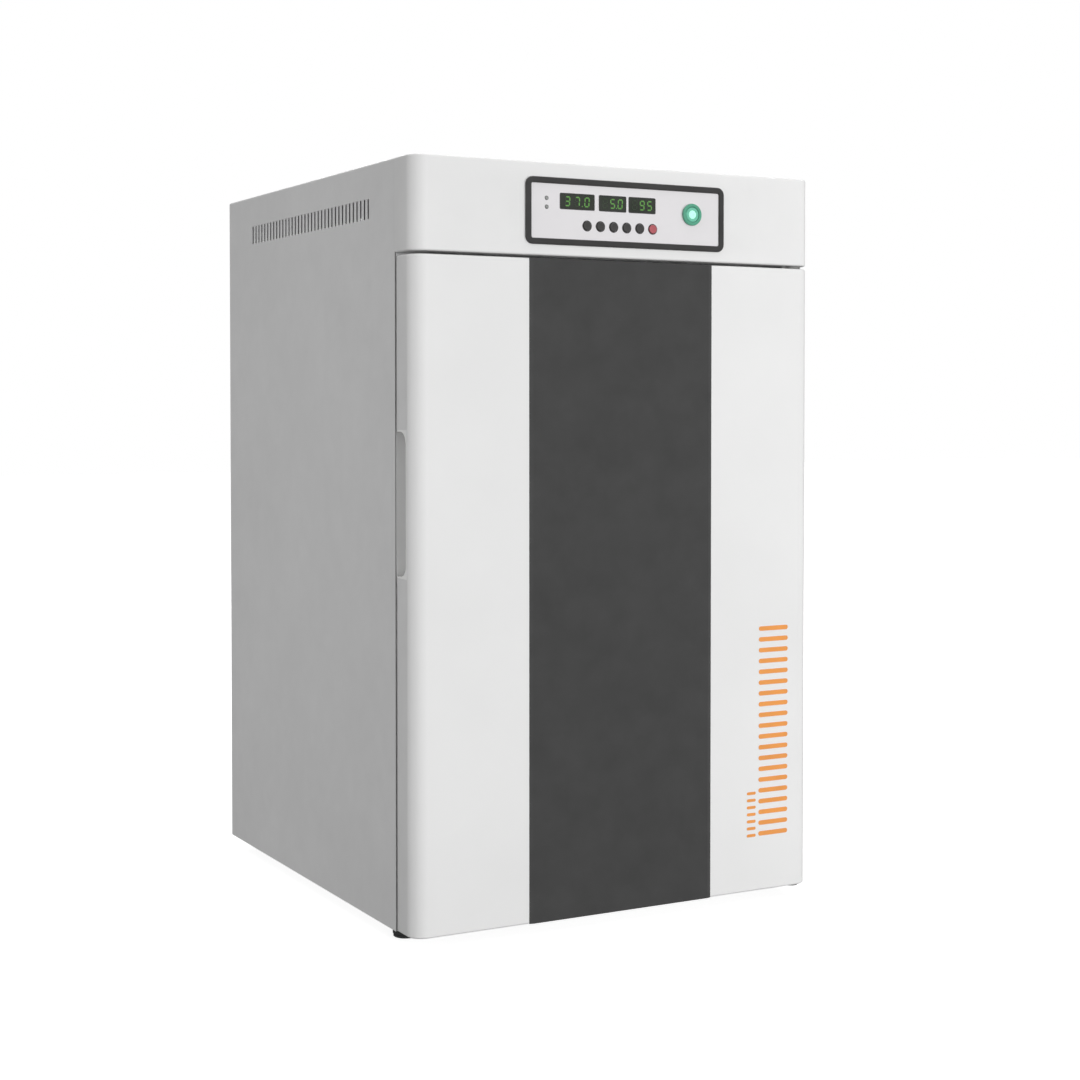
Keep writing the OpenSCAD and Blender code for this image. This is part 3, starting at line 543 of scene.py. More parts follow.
def build_rear():
    """Rear panel with its openings, and the socket screws that hold it."""
    low, high = span("back_panel")
    port, gas = middle("access_port_tube"), middle("gas_inlet")
    inlet = middle("power_inlet")
    fitting_r, inlet_w, inlet_h = 5 * MM, 28 * MM, 21 * MM
    edge = shift(rounded(high[0] - low[0], high[2] - low[2], 2 * MM, 3), 0, (low[2] + high[2]) / 2)
    loops = [edge, shift(circle(PORT_R), port.x, port.z), shift(circle(fitting_r, 24), gas.x, gas.z),
             shift(rounded(inlet_w, inlet_h, 1 * MM, 3), inlet.x, inlet.z)]
    slots, pitch, first_x = 14, 12 * MM, -81.5 * MM
    slot = rounded(5 * MM, 24 * MM, 2 * MM, 4)
    vent_z, row_gap = HEAD_LO[2] + 63 * MM, 18 * MM
    for row in (-1, 1):
        for i in range(slots):
            loops.append(shift(slot, first_x + i * pitch, vent_z + row * row_gap))
    sheet = piece("rear_sheet", [pierced(loops, front, low[1], high[1])], "painted_shell", "cabinet",
                  ["back_panel"])
    sheet.data.set_sharp_from_angle(angle=math.radians(35))
    screws = []
    screw_lo, screw_hi = span("panel_screws")
    head = 4 * MM
    y = high[1]
    profile = [(0, 4.0), (0.9, 4.0), (1.7, 3.6), (2.2, 2.8), (2.4, 1.8)]
    step = (screw_hi[2] - screw_lo[2] - 2 * head) / 4
    for x in (screw_lo[0] + head, screw_hi[0] - head):
        for i in range(5):
            at = (x, screw_lo[2] + head + i * step)
            rings = [front(shift(circle(r * MM, SCREW_STEPS), *at), y + d * MM) for d, r in profile]
            rings += [front(shift(socket(1.6 * MM), *at), y + d * MM) for d in (2.4, 1.1)]
            screws.append(loft(rings))
    piece("rear_screws", screws, "stainless", "cabinet", ["panel_screws"], bevel=0.12, segments=1)


def socket(radius):
    """Hexagon with the same number of points as a screw head's rim."""
    points = []
    for i in range(SCREW_STEPS):
        angle = 2 * math.pi * i / SCREW_STEPS
        reach = radius * math.cos(math.pi / 6) / math.cos((angle % (math.pi / 3)) - math.pi / 6)
        points.append((reach * math.cos(angle), reach * math.sin(angle)))
    return points


# ---------- control panel ----------

PLATE_Y = PLATE_LO[1]
PLATE_CORNER = 2 * MM
KEY_BOXES = [span(f"key_{i}") for i in range(1, 7)]
KEY_SPOTS = [facing(lo, hi) for lo, hi in KEY_BOXES]
LED = middle("status_leds")
LED_SPOTS = [(LED.x, LED.z + s * 5 * MM) for s in (-1, 1)]
LENS_LO, LENS_HI = span("display_windows")
LENS_Y = PLATE_Y - 0.12 * MM
WINDOW_Z, WINDOW_H = (LENS_LO[2] + LENS_HI[2]) / 2, LENS_HI[2] - LENS_LO[2]
WINDOW_CORNER = 0.8 * MM
SEGMENTS = {"0": "abcdef", "3": "abcdg", "5": "acdfg", "7": "abc", "9": "abcdfg", "-": ""}


def display_windows():
    """Middle and width of the three windows, the second one a little off the even spacing."""
    widths, nudge = (44 * MM, 35 * MM, 35 * MM), 1.25 * MM
    gap = (LENS_HI[0] - LENS_LO[0] - sum(widths)) / 2
    starts = [LENS_LO[0], LENS_LO[0] + widths[0] + gap + nudge, LENS_HI[0] - widths[2]]
    return [(start + w / 2, w) for start, w in zip(starts, widths)]


WINDOWS = display_windows()


def collar(profile, at, steps):
    """A raised ring on the control plate: (radius, height) points in millimetres."""
    rings = [front(shift(circle(r * MM, steps), *at), PLATE_Y - d * MM) for r, d in profile]
    return loft(rings, loop=True)


def build_plate():
    """Bezel, control plate and the thin trims round its openings."""
    width, height = PLATE_HI[0] - PLATE_LO[0], PLATE_HI[2] - PLATE_LO[2]
    centre = (PLATE_MID.x, PLATE_MID.z)
    top = span("control_bezel")[0][1]
    rim = [(0, FACE), (0, top + 1.2 * MM), (0.35 * MM, top + 0.4 * MM), (1.2 * MM, top),
           (5.6 * MM, top), (6.5 * MM, top + 0.35 * MM), (7 * MM, top + 1.1 * MM), (7 * MM, FACE)]
    piece("panel_frame", [framed(width, height, PLATE_CORNER, rim, front, centre=centre)], "bezel_grey",
          "cabinet", ["control_bezel"])

    ring = middle("power_button_bezel")
    slack, key_r, button_r, led_r = 0.2 * MM, 5.3 * MM, 11 * MM, 2.05 * MM
    loops = [shift(rounded(width - slack, height - slack, PLATE_CORNER), *centre)]
    for x, w in WINDOWS:
        loops.append(shift(rounded(w + slack, WINDOW_H + slack, WINDOW_CORNER, 3), x, WINDOW_Z))
    loops += [shift(circle(key_r, 32), *at) for at in KEY_SPOTS]
    loops.append(shift(circle(button_r), ring.x, ring.z))
    loops += [shift(circle(led_r, 20), *at) for at in LED_SPOTS]
    piece("panel_film", [pierced(loops, front, PLATE_Y, PLATE_HI[1])], "plate_grey", "cabinet",
          ["control_plate"], bevel=0.15, segments=1)

    raised = PLATE_Y - 0.25 * MM
    lip = [(0, PLATE_Y), (0, raised), (0.9 * MM, raised), (1.1 * MM, PLATE_Y)]
    trims = [framed(w, WINDOW_H, WINDOW_CORNER, lip, front, centre=(x, WINDOW_Z)) for x, w in WINDOWS]
    trims += [collar(((5.35, 0), (5.35, 0.12), (6.2, 0.12), (6.3, 0)), at, 40) for at in KEY_SPOTS]
    trims += [collar(((2.1, 0), (2.1, 0.15), (2.4, 0.15), (2.5, 0)), at, 24) for at in LED_SPOTS]
    piece("panel_trims", trims, "bezel_grey", "cabinet")


def bar(cx, cz, length, upright):
    """One pointed bar of a seven-segment digit."""
    half, tip, thick = 0.75 * MM, length / 2, 0.08 * MM
    outline = [(-tip, 0), (-tip + half, -half), (tip - half, -half), (tip, 0), (tip - half, half),
               (-tip + half, half)]
    if upright:
        outline = [(-v, u) for u, v in outline]
    outline = shift(outline, cx, cz)
    return loft([front(outline, LENS_Y), front(outline, LENS_Y - thick)])


def digit(text, cx, cz):
    """Lit and unlit bars of one digit, which leans a little to the right."""
    w, h, gap, lean = 2.7 * MM, 5.0 * MM, 0.5 * MM, 0.08
    spots = {"a": (0, h, 0), "b": (w, h / 2, 1), "c": (w, -h / 2, 1), "d": (0, -h, 0),
             "e": (-w, -h / 2, 1), "f": (-w, h / 2, 1), "g": (0, 0, 0)}
    on, off = [], []
    for key, (dx, dz, upright) in spots.items():
        length = (h if upright else 2 * w) - gap
        made = bar(cx + dx + dz * lean, cz + dz, length, upright)
        (on if key in SEGMENTS[text] else off).append(made)
    return on, off


def build_displays():
    """Display lenses, the digits behind them and a decimal point in the first two."""
    stack = [(0, span("control_board")[0][1]), (0, PLATE_Y + 0.1 * MM), (-0.25 * MM, LENS_Y)]
    lenses = [framed(w, WINDOW_H, WINDOW_CORNER, stack, front, False, (x, WINDOW_Z)) for x, w in WINDOWS]
    piece("display_lenses", lenses, "display_green", "cabinet", ["display_windows"])

    # Digit pitches across one window
    pitches = 3.45
    lit_bars, dim_bars = [], []
    for (x, w), text in zip(WINDOWS, ("370", "-50", "-95")):
        pitch = w / pitches
        for i, letter in enumerate(text):
            on, off = digit(letter, x + (i - 1) * pitch, WINDOW_Z)
            lit_bars += on
            dim_bars += off
        if text != "-95":
            dot = shift(circle(0.7 * MM, 12), x + pitch / 2 + 0.2 * MM, WINDOW_Z - 5 * MM)
            lit_bars.append(loft([front(dot, LENS_Y), front(dot, LENS_Y - 0.08 * MM)]))
    piece("display_digits", lit_bars, GLOW, "cabinet")
    piece("display_unlit_bars", dim_bars, GHOST, "cabinet")


def build_lamps():
    """Two domed indicator lamps at the left of the plate."""
    dome = [(PLATE_Y + 8 * MM, 2), (PLATE_Y, 2), (PLATE_Y - 0.4 * MM, 1.85), (PLATE_Y - 0.65 * MM, 1.4),
            (PLATE_Y - 0.8 * MM, 0.6)]
    piece("indicator_leds", [spun(dome, at, 24) for at in LED_SPOTS], "led_lens", "cabinet", ["status_leds"])


def build_keys():
    """Round keys with a dished top, each on its own body."""
    flange_r, stem_r, flange = 6.2, 5.0, 1.9 * MM
    for i, ((lo, hi), at) in enumerate(zip(KEY_BOXES, KEY_SPOTS), 1):
        y0, y1 = lo[1], hi[1]
        profile = [(y1, flange_r), (y1 - flange, flange_r), (y1 - flange, stem_r), (y0 + 0.6 * MM, stem_r),
                   (y0 + 0.2 * MM, 4.85), (y0, 4.4), (y0 + 0.05 * MM, 3.6), (y0 + 0.3 * MM, 2.4),
                   (y0 + 0.42 * MM, 0.8)]
        piece(f"key_cap_{i}", [spun(profile, at, 40)],
              SLOT_OF[f"key_{i}"], BODY_OF[f"key_{i}"], [f"key_{i}"])


def build_power_button():
    """Ring, cap and lit core of the power button."""
    low, high = span("power_button_bezel")
    at = facing(low, high)
    y0, y1 = low[1], high[1]
    ring = [(y1, 11.0), (PLATE_Y, 11.0), (PLATE_Y, 13.0), (y0 + 1.1 * MM, 13.0), (y0 + 0.4 * MM, 12.7),
            (y0, 12.0), (y0, 10.1), (y0 + 0.3 * MM, 9.3), (y0 + 0.8 * MM, 9.0), (y0 + 14 * MM, 9.0)]
    piece("power_ring", [spun(ring, at)], "button_ring", "cabinet", ["power_button_bezel"])
    y = span("power_button_cap")[0][1]
    cap = [(y + 9.5 * MM, 8.8), (y + 0.8 * MM, 8.8), (y + 0.25 * MM, 8.4), (y, 7.6), (y + 0.05 * MM, 5.6),
           (y + 0.35 * MM, 5.2)]
    piece("power_cap", [spun(cap, at)], "button_cap", "power_button", ["power_button_cap"])
    core = [(y + 0.4 * MM, 5.15), (y + 0.15 * MM, 4.9), (y, 4.2), (y - 0.1 * MM, 2.2), (y - 0.12 * MM, 0.8)]
    piece("power_core", [spun(core, at)], CORE, "power_button")


# ---------- outer door ----------

def build_centre_panel():
    """Dark panel down the middle of the door, with sloping sides."""
    low, high = span("door_centre_panel")
    slope, back = 5 * MM, 0.2 * MM
    outline = [(low[0], high[1]), (low[0], high[1] - back), (low[0] + slope, low[1]),
               (high[0] - slope, low[1]), (high[0], high[1] - back), (high[0], high[1])]
    piece("centre_panel", [loft([level(outline, low[2]), level(outline, high[2])])], "dark_panel",
          "outer_door", ["door_centre_panel"], bevel=0.35, segments=2, angle=8)


def build_accents():
    """Two columns of plain bars: left edge, right edge, foot, count and pitch in millimetres."""
    columns = ((193, 236, 78, 20, 13.2), (176, 189, 79, 7, 8.6))
    tall, corner = 0.42, 0.2
    sunk, raised = 0.05 * MM, 0.18 * MM
    accents = []
    for left, right, z0, count, pitch in columns:
        shape = rounded((right - left) * MM, pitch * tall * MM, pitch * corner * MM, 4)
        for i in range(count):
            at = shift(shape, (left + right) / 2 * MM, (z0 + (i + 0.5) * pitch) * MM)
            accents.append(loft([front(at, FACE + sunk), front(at, FACE - raised)]))
    piece("accent_bars", accents, ACCENT, "outer_door")


def build_gasket():
    """Door gasket with its fin and its magnet bulb: (outward millimetres, part of the depth) points."""
    low, high = span("door_gasket")
    depth = high[1] - low[1]
    y = low[1]
    lip = [(-14, 0), (-13.4, 0.35), (-12.2, 0.55), (-11, 0.95), (-9.5, 1.0), (-8.2, 0.93), (-7.2, 0.62),
           (-6.2, 0.62), (-5.2, 0.9), (-3.6, 0.96), (-2.2, 0.85), (-1.2, 0.45), (-0.3, 0.3), (0, 0)]
    section = [(out * MM, y + d * depth) for out, d in lip]
    piece("door_gasket_lip",
          [framed(high[0] - low[0], high[2] - low[2], 16 * MM, section, front,
                  centre=(0, (low[2] + high[2]) / 2))],
          "gasket_grey", "outer_door", ["door_gasket"])


def build_inner_skin():
    """Moulded inner side of the door: a flat border round a shallow recess with rolled edges."""
    low, high = span("door_inner_liner")
    cup_lo, cup_hi = span("door_handle_cup")
    y, wall = high[1], 2 * MM
    side_rim, end_rim = 50 * MM, 95 * MM
    recess_w, recess_h = 2 * (HALF - side_rim), DOOR_HI[2] - DOOR_LO[2] - 2 * end_rim
    middle_z = (low[2] + high[2]) / 2
    edge = [(low[0], low[2]), (high[0], low[2]), (high[0], high[2]), (low[0], high[2]),
            (low[0], cup_hi[2]), (cup_hi[0], cup_hi[2]), (cup_hi[0], cup_lo[2]), (low[0], cup_lo[2])]
    lip, corner = 3 * MM, 26 * MM
    lip_ring = shift(rounded(recess_w + 2 * lip, recess_h + 2 * lip, corner + lip), 0, middle_z)
    floor = y - 8 * MM
    fold = [(3, y), (1.8, y - 0.25 * MM), (0.8, y - 0.9 * MM), (0.2, y - 2.0 * MM), (-0.6, floor + 4 * MM),
            (-1.6, floor + 1.6 * MM), (-3.2, floor + 0.4 * MM), (-5.5, floor)]
    rings = []
    for out, depth in fold:
        outline = rounded(recess_w + 2 * out * MM, recess_h + 2 * out * MM, corner + out * MM)
        rings.append(front(shift(outline, 0, middle_z), depth))
    verts, faces = loft(rings, caps=False)
    faces.append(tuple(range(len(verts) - len(rings[0]), len(verts))))
    piece("door_inner_skin", [flat([edge, lip_ring], front, y), (verts, faces)], "door_liner_white",
          "outer_door", ["door_inner_liner"], sheet=wall / MM, grow=1)


def build_grip():
    """Moulded scoop for the fingers, quarter-round along its length and rounded at both ends."""
    low, high = span("door_handle_cup")
    wall, end, edge = 2 * MM, 14 * MM, 0.3 * MM
    full = high[0] - low[0] - wall
    z0, z1 = low[2] + wall, high[2] - wall
    turn = quarter_turn(14)
    rows = [(low[2], edge), (z0, edge)]
    rows += [(z0 + end * (1 - math.cos(a)), full - end * (1 - math.sin(a))) for a in turn[::2]]
    rows += [(z1 - end * (1 - math.cos(a)), full - end * (1 - math.sin(a))) for a in turn[::-2]]
    rows += [(z1, edge), (high[2], edge)]
    rings = []
    for z, radius in rows:
        scoop = [(low[0] + radius * math.sin(a), high[1] - radius * math.cos(a)) for a in turn]
        rings.append(level([(high[0], low[1]), (low[0], low[1])] + scoop + [(high[0], high[1])], z))
    piece("grip_scoop", [loft(rings)], SLOT_OF["door_handle_cup"], "outer_door", ["door_handle_cup"],
          bevel=0.5)


# ---------- chamber ----------

def build_chamber():
    """Chamber liner with its flange, drawn mouth and rounded back, and the seal round the mouth."""
    low, high = span("chamber_liner")
    wide, tall, bend, roll = 400 * MM, 500 * MM, 20 * MM, 8
    sheet = 1.2
    mouth, back = low[1], high[1] - sheet * MM
    at = (0, (low[2] + high[2]) / 2)
    port, fan, sensors = middle("access_port_tube"), middle("fan_duct_cover"), middle("chamber_sensors")
    shaft_r, probe_r, sensor_r = 6 * MM, 3 * MM, 9 * MM

    def outline(out):
        return shift(rounded(wide + 2 * out, tall + 2 * out, bend + out, 10), *at)

    flange = [(low[0], low[2]), (high[0], low[2]), (high[0], high[2]), (low[0], high[2])]
    fold = [(2.5, mouth), (1.4, mouth + 0.25 * MM), (0.5, mouth + 1.0 * MM), (0, mouth + 2.5 * MM)]
    fold += [(0, mouth + 100 * i * MM) for i in (1, 2, 3)]
    fold += [(-roll * (1 - math.cos(a)), back - roll * MM * (1 - math.sin(a))) for a in quarter_turn(6)]
    rings = [front(outline(out * MM), depth) for out, depth in fold]
    holes = [shift(circle(PORT_R), port.x, port.z), shift(circle(shaft_r, 24), 0, fan.z),
             shift(circle(probe_r, 20), -SENSOR_X, sensors.z),
             shift(circle(sensor_r, 32), SENSOR_X, sensors.z)]
    piece("chamber_skin",
          [flat([flange, outline(fold[0][0] * MM)], front, mouth), loft(rings, caps=False),
           flat([outline(-roll * MM)] + holes, front, back)],
          "stainless", "cabinet", ["chamber_liner"], sheet=sheet)

    low, high = span("chamber_seal")
    depth = low[1] - high[1]
    bulb = [(-6, 0), (-6, 0.25), (-5.2, 0.45), (-4.6, 0.8), (-3.4, 1.0), (-2.2, 0.97), (-1.3, 0.75),
            (-0.6, 0.4), (0, 0.25), (0, 0)]
    section = [(out * MM, high[1] + d * depth) for out, d in bulb]
    piece("chamber_mouth_seal",
          [framed(high[0] - low[0], high[2] - low[2], 24 * MM, section, front, centre=at)],
          "silicone", "cabinet", ["chamber_seal"])


def square_rim(half, steps):
    """Points on a square, one for each point of the round hole inside it."""
    points = []
    for i in range(steps):
        angle = 2 * math.pi * i / steps
        reach = half / max(abs(math.cos(angle)), abs(math.sin(angle)))
        points.append((reach * math.cos(angle), reach * math.sin(angle)))
    return points


def perforated(node, body):
    """Shelf sheet with round holes, a folded front edge and a rear stop."""
    low, high = span(node)
    pitch, hole, steps = 22 * MM, 5 * MM, 16
    sheet, stop, lip = 1.5 * MM, 14 * MM, 12 * MM
    top = low[2] + lip + sheet
    y0, y1 = low[1], high[1]
    # Half the width of the folds, and the least that stays unpierced across and from front to back
    lip_x, across, lengthways = 178 * MM, 20 * MM, 30 * MM
    nx = int((2 * lip_x - across) / pitch)
    ny = int((y1 - y0 - lengthways) / pitch)
    cy = (y0 + y1) / 2
    half = pitch / 2
    square, round_hole = square_rim(half, steps), circle(hole, steps)
    parts = []
    for i in range(nx):
        for j in range(ny):
            at = ((i - (nx - 1) / 2) * pitch, cy + (j - (ny - 1) / 2) * pitch)
            cell = [level(shift(square, *at), top), level(shift(round_hole, *at), top)]
            parts.append(loft(cell, caps=False))
    w, d = nx * half, ny * half
    offsets = sorted({round(v, 9) for u, v in square if abs(u - half) < 1e-9})

    def along(count):
        """Points of the outermost cells along one side."""
        spots = [(k - (count - 1) / 2) * pitch + o for k in range(count) for o in offsets]
        return sorted({round(v, 7) for v in spots})

    xs, ys = along(nx), along(ny)
    inner = [(x, cy - d) for x in xs] + [(w, cy + y) for y in ys[1:]]
    inner += [(x, cy + d) for x in xs[::-1][1:]] + [(-w, cy + y) for y in ys[::-1][1:-1]]
    border = [(low[0], y0), (high[0], y0), (high[0], y1), (low[0], y1)]
    parts.append(flat([border, inner], level, top))
    piece(f"{node}_sheet", parts, "stainless", body, [node], sheet=sheet / MM)
    fold = [block((-lip_x, y0, top - sheet - lip), (lip_x, y0 + sheet, top - sheet)),
            block((-lip_x, y1 - sheet, top), (lip_x, y1, top - sheet + stop))]
    piece(f"{node}_folds", fold, "stainless", body, bevel=0.5)


def build_shelves():
    for node in ("shelf_lower", "shelf_middle", "shelf_upper"):
        perforated(node, BODY_OF[node])


def build_tray():
    """Water tray: a drawn pan, followed from the outside of its floor over the rolled rim and back in."""
    low, high = span("humidity_tray")
    z0, z1 = low[2], high[2]
    pan_w, rim = 342 * MM, 6 * MM
    size = (pan_w - 2 * rim, high[1] - low[1] - 2 * rim)
    at = ((low[0] + high[0]) / 2, (low[1] + high[1]) / 2)
    fold = [(-6, z0), (-2, z0 + 0.6 * MM), (-0.5, z0 + 2.5 * MM), (0, z0 + 6 * MM), (0, z1 - 2.4 * MM),
            (0.8, z1 - 1.4 * MM), (5.2, z1 - 1.4 * MM), (6, z1 - 0.8 * MM), (5.6, z1), (0.4, z1),
            (-0.8, z1 - 0.6 * MM), (-1.2, z1 - 2.0 * MM), (-1.2, z0 + 6 * MM), (-1.7, z0 + 3.2 * MM),
            (-3.2, z0 + 1.7 * MM), (-7, z0 + 1.2 * MM)]
    piece("water_tray_pan", [framed(*size, 18 * MM, [(o * MM, z) for o, z in fold], level, False, at)],
          "stainless", "water_tray", ["humidity_tray"])


def build_sensors():
    """Temperature probe on the left and gas sensor on the right of the chamber's back."""
    low, high = span("chamber_sensors")
    z = (low[2] + high[2]) / 2
    y0, y1 = low[1], high[1]
    probe = [(y1, 3), (y0 + 3 * MM, 3), (y0 + 1 * MM, 2.5), (y0 + 0.2 * MM, 1.5), (y0, 0.5)]
    sensor = [(y1, 9), (y0 + 16 * MM, 9), (y0 + 16 * MM, 8.2), (y0 + 15 * MM, 8.2), (y0 + 15 * MM, 9),
              (y0 + 1.5 * MM, 9), (y0 + 0.4 * MM, 8.4), (y0, 7), (y0 + 0.6 * MM, 6)]
    piece("sensor_probes", [spun(probe, (-SENSOR_X, z), 24), spun(sensor, (SENSOR_X, z), 40)],
          "stainless", "cabinet", ["chamber_sensors"], bevel=0.2, segments=1)


def build_stopper():
    """Access port stopper: four ridges that grip the tube, and a dished flange."""
    low, high = span("access_port_plug")
    at = facing(low, high)
    y0, y1 = low[1], high[1]
    flange = y1 - 8.7 * MM
    body = [(y0, 16.5), (y0 + 2 * MM, 17.6)]
    for i in range(4):
        ridge = y0 + (8 + i * 9) * MM
        body += [(ridge, 17.2), (ridge + 1 * MM, 18.1), (ridge + 3 * MM, 18.1), (ridge + 4 * MM, 17.2)]
    body += [(flange, 18.0), (flange, 23.4), (flange + 0.8 * MM, 24), (y1 - 1.6 * MM, 24),
             (y1 - 0.5 * MM, 23.4), (y1, 22), (y1, 10), (y1 - 2 * MM, 8.5), (y1 - 2.4 * MM, 3)]
    piece("port_stopper", [spun(body, at)], "silicone", "port_plug", ["access_port_plug"])


# ---------- inner glass door ----------

def build_glass():
    """Glass pane with ground edges, and its pull: a turned knob on a clip round the edge."""
    low, high = span("glass_pane")
    size = (high[0] - low[0], high[2] - low[2])
    at = facing(low, high)
    y0, y1 = low[1], high[1]
    edge = [(-1, y0), (-0.15, y0 + 0.2 * MM), (0, y0 + 0.9 * MM), (0, y1 - 0.9 * MM),
            (-0.15, y1 - 0.2 * MM), (-1, y1)]
    piece("glass_sheet", [framed(*size, 10 * MM, [(o * MM, d) for o, d in edge], front, False, at)],
          "window_glass", "glass_door", ["glass_pane"])

    low, high = span("glass_pull")
    z = (low[2] + high[2]) / 2
    knob_r, rear_leaf = 11, 6 * MM
    y = high[1] - rear_leaf
    knob = [(y, 5), (y - 2 * MM, 5), (y - 6 * MM, 4.2), (y - 8 * MM, 6), (y - 8.6 * MM, 10.2),
            (y - 9.6 * MM, knob_r), (y - 12 * MM, knob_r), (y - 12.8 * MM, 10.2), (y - 13 * MM, 8.5),
            (y - 12.6 * MM, 7), (y - 12.5 * MM, 2)]
    x0, leaf, tall, thick = low[0], 9 * MM, 8 * MM, 1 * MM
    clip = [block((x0, y - thick, z - tall), (x0 + leaf, y, z + tall)),
            block((x0, y, z - tall), (x0 + 2 * thick, y + rear_leaf - thick, z + tall)),
            block((x0, y + rear_leaf - thick, z - tall), (x0 + leaf, y + rear_leaf, z + tall))]
    piece("glass_pull_knob", [spun(knob, (high[0] - knob_r * MM, z), 40)] + clip,
          "black_plastic", "glass_door", ["glass_pull"], bevel=0.25, segments=1)


# ---------- feet and services ----------

def build_feet():
    """Levelling feet: a ribbed pad, a hexagon nut and a threaded stud."""
    # Heights in millimetres above the floor, and the thread's pitch
    nut_z, thread_z, pitch = 9, 15, 1.5
    for node in ("foot_front_left", "foot_front_right", "foot_rear_left", "foot_rear_right"):
        low, high = span(node)
        at = ((low[0] + high[0]) / 2, (low[1] + high[1]) / 2)
        edge = (high[0] - low[0]) / 2 / MM
        pad = [(0, edge - 1.6), (0.6, edge - 0.8), (2.6, edge - 0.8), (2.8, edge - 1.4), (3.4, edge - 1.4),
               (3.6, edge - 0.3), (4.4, edge), (6.6, edge), (7.4, edge - 0.5), (9, edge - 4)]
        nut = [level(shift(socket(r * MM), *at), (nut_z + z) * MM)
               for z, r in ((0, 9.2), (0.4, 10), (4, 10), (4.5, 9.2))]
        stud = [(nut_z, 5)]
        turns = int((high[2] / MM - thread_z - 1) / pitch)
        for i in range(turns):
            crest = thread_z + i * pitch
            stud += [(crest, 5.0), (crest + pitch / 2, 4.4)]
        stud += [(high[2] / MM, 4.2)]
        parts = [turned([(z * MM, r * MM) for z, r in pad], level, at), loft(nut),
                 turned([(z * MM, r * MM) for z, r in stud], level, at, 24)]
        piece(f"{node}_glide", parts, "black_plastic", BODY_OF[node], [node])


def build_hose_tail():
    """Barbed gas fitting with a hexagon nut against the rear panel."""
    low, high = span("gas_inlet")
    panel = span("back_panel")[1][1]
    at = facing(low, high)
    tail = [(low[1], 4.6), (low[1] + 0.6 * MM, 5), (panel, 5), (panel + 4 * MM, 5), (panel + 4 * MM, 3.2)]
    for i in range(3):
        start = panel + (5 + i * 3) * MM
        tail += [(start, 4.0), (start + 2.4 * MM, 3.3)]
    bore, bore_depth = 2.0, 6 * MM
    tail += [(high[1], 3.0), (high[1], bore), (high[1] - bore_depth, bore)]
    nut = loft([front(shift(socket(r * MM), *at), panel + d * MM)
                for d, r in ((0, 8.6), (0.5, 9), (3.5, 9), (4, 8.4))])
    piece("gas_hose_tail", [spun(tail, at, 32), nut], "brass_fitting", "cabinet", ["gas_inlet"])


# ---------- CAD nodes that keep their own shape ----------

def dress_nodes():
    """Softens the visible CAD nodes by a bevel in millimetres, and gives every node its material."""
    widths = {"base_pan": 0.4, "front_frame": 0.5, "electronics_deck": 0.3, "control_board": 0.3,
              "rack_posts": 0.3, "shelf_rails": 0.3, "fan_duct_cover": 0.2, "fan_impeller": 0.4,
              "fan_motor": 0.8, "access_port_tube": 0.2, "glass_hinge_clips": 0.3,
              "glass_hinge_brackets": 0.4, "magnet_catch": 0.5, "door_hinge_bushes": 0.3,
              "door_hinge_brackets": 0.5, "power_inlet": 0.5, "power_supply": 0.6, "solenoid_valve": 0.8,
              "rear_bumpers": 1.0, "heater_pads": 0.3, "insulation_jacket": 2.0, "door_insulation": 2.0,
              "gas_line": 0.0, "wiring_loom": 0.0}
    for node, width in widths.items():
        soften(NODES[node], width, 1 if node in ("fan_duct_cover", "rack_posts") else 2)
    for node, obj in NODES.items():
        for place in obj.material_slots:
            place.material = MATERIALS[SLOT_OF[node]]


# ---------- studio ----------

def build_world():
    """White to the camera, and a soft overhead glow to everything else."""
    world = bpy.data.worlds.new("studio")
    bpy.context.scene.world = world
    world.use_nodes = True
    nodes, links = world.node_tree.nodes, world.node_tree.links
    nodes.clear()
    output = nodes.new("ShaderNodeOutputWorld")
    mix = nodes.new("ShaderNodeMixShader")
    seen = add_node(nodes, "ShaderNodeBackground", color=(1, 1, 1, 1), strength=1.0)
    sky = nodes.new("ShaderNodeBackground")
    path = nodes.new("ShaderNodeLightPath")
    where = nodes.new("ShaderNodeTexCoord")
    toward = nodes.new("ShaderNodeVectorMath")
    toward.operation = "DOT_PRODUCT"
    toward.inputs[1].default_value = Vector((0, -0.5, 0.87)).normalized()
    spread = add_node(nodes, "ShaderNodeMapRange", from_min=-1, from_max=1, to_min=0.10, to_max=0.58)
    links.new(where.outputs["Generated"], toward.inputs[0])
    links.new(toward.outputs["Value"], spread.inputs["Value"])
    links.new(spread.outputs["Result"], sky.inputs["Strength"])
    links.new(path.outputs["Is Camera Ray"], mix.inputs["Fac"])
    links.new(sky.outputs["Background"], mix.inputs[1])
    links.new(seen.outputs["Background"], mix.inputs[2])
    links.new(mix.outputs["Shader"], output.inputs["Surface"])


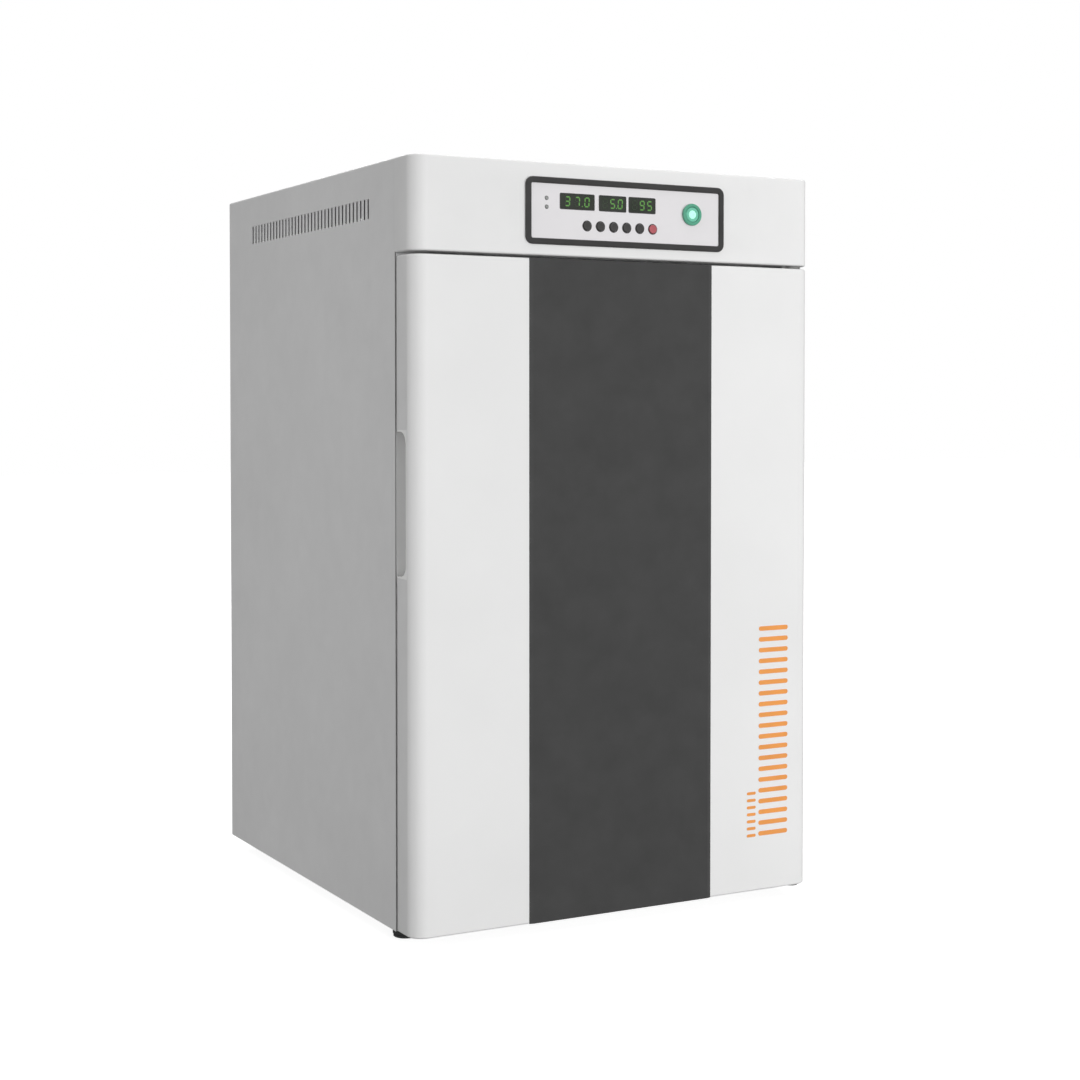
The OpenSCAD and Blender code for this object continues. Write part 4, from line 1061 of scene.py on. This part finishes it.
def build_floor():
    """Plain pale floor that lights nothing and shows in no reflection."""
    floor_mesh = bpy.data.meshes.new("studio_floor")
    reach = 14
    floor_mesh.from_pydata([(-reach, -reach, 0), (reach, -reach, 0), (reach, reach, 0), (-reach, reach, 0)],
                           [], [(0, 1, 2, 3)])
    floor = placed("studio_floor", floor_mesh)
    finish = Finish("studio_floor", emission_strength=0.85)
    finish.shader.inputs["Emission Color"].default_value = (1, 1, 1, 1)
    finish.colour(finish.noise(2), (0.50, 0.50, 0.50), (0.52, 0.52, 0.52))
    finish.roughness(finish.noise(3), 0.9, 0.95)
    floor.data.materials.append(finish.material)
    floor.visible_diffuse = False
    floor.visible_glossy = False


def build_lights():
    """Lamps round the cabinet: azimuth and elevation in degrees, distance and size in metres."""
    aim = Vector((0, 0, 0.45))
    for name, kind, azimuth, elevation, distance, size, power, mirrored in (
            ("front_sun", "SUN", 5, 8, 6, 0.5, 1.30, False),
            ("front_key", "AREA", 35, 2, 3.5, 0.8, 36, False),
            ("left_sun", "SUN", -80, 5, 6, 0.5, 0.46, False),
            ("left_fill", "AREA", -95, 0, 1.7, 0.8, 3.2, False),
            ("rear_fill", "AREA", 150, 28, 4.6, 3.0, 90, True),
            ("top", "AREA", 0, 88, 2.4, 1.8, 18, True)):
        a, e = math.radians(azimuth), math.radians(elevation)
        back = Vector((math.sin(a) * math.cos(e), -math.cos(a) * math.cos(e), math.sin(e)))
        data = bpy.data.lights.new(name, kind)
        data.energy = power
        if kind == "SUN":
            data.angle = size
        else:
            data.shape, data.size = "DISK", size
        lamp = placed(name, data)
        lamp.location = aim + back * distance
        lamp.rotation_mode = "QUATERNION"
        lamp.rotation_quaternion = (-back).to_track_quat("-Z", "Y")
        lamp.visible_glossy = mirrored


def build_camera():
    """The photograph's viewpoint, fitted to its perspective."""
    down, across = math.radians(1.485), math.radians(28.471)
    camera = placed("camera", bpy.data.cameras.new("camera"))
    camera.location = (-1.1412, -2.2014, 0.6085)
    camera.rotation_euler = (math.pi / 2 - down, 0, -across)
    camera.data.sensor_width = 36
    camera.data.lens = 63.355
    camera.data.shift_y = -0.08
    bpy.context.scene.camera = camera
    bpy.context.scene.view_settings.view_transform = "Standard"


build_skins()
build_cabinet()
build_rear()
build_plate()
build_displays()
build_lamps()
build_keys()
build_power_button()
build_centre_panel()
build_accents()
build_gasket()
build_inner_skin()
build_grip()
build_chamber()
build_shelves()
build_tray()
build_sensors()
build_stopper()
build_glass()
build_feet()
build_hose_tail()
dress_nodes()
build_world()
build_floor()
build_lights()
build_camera()

bpy.context.view_layer.update()
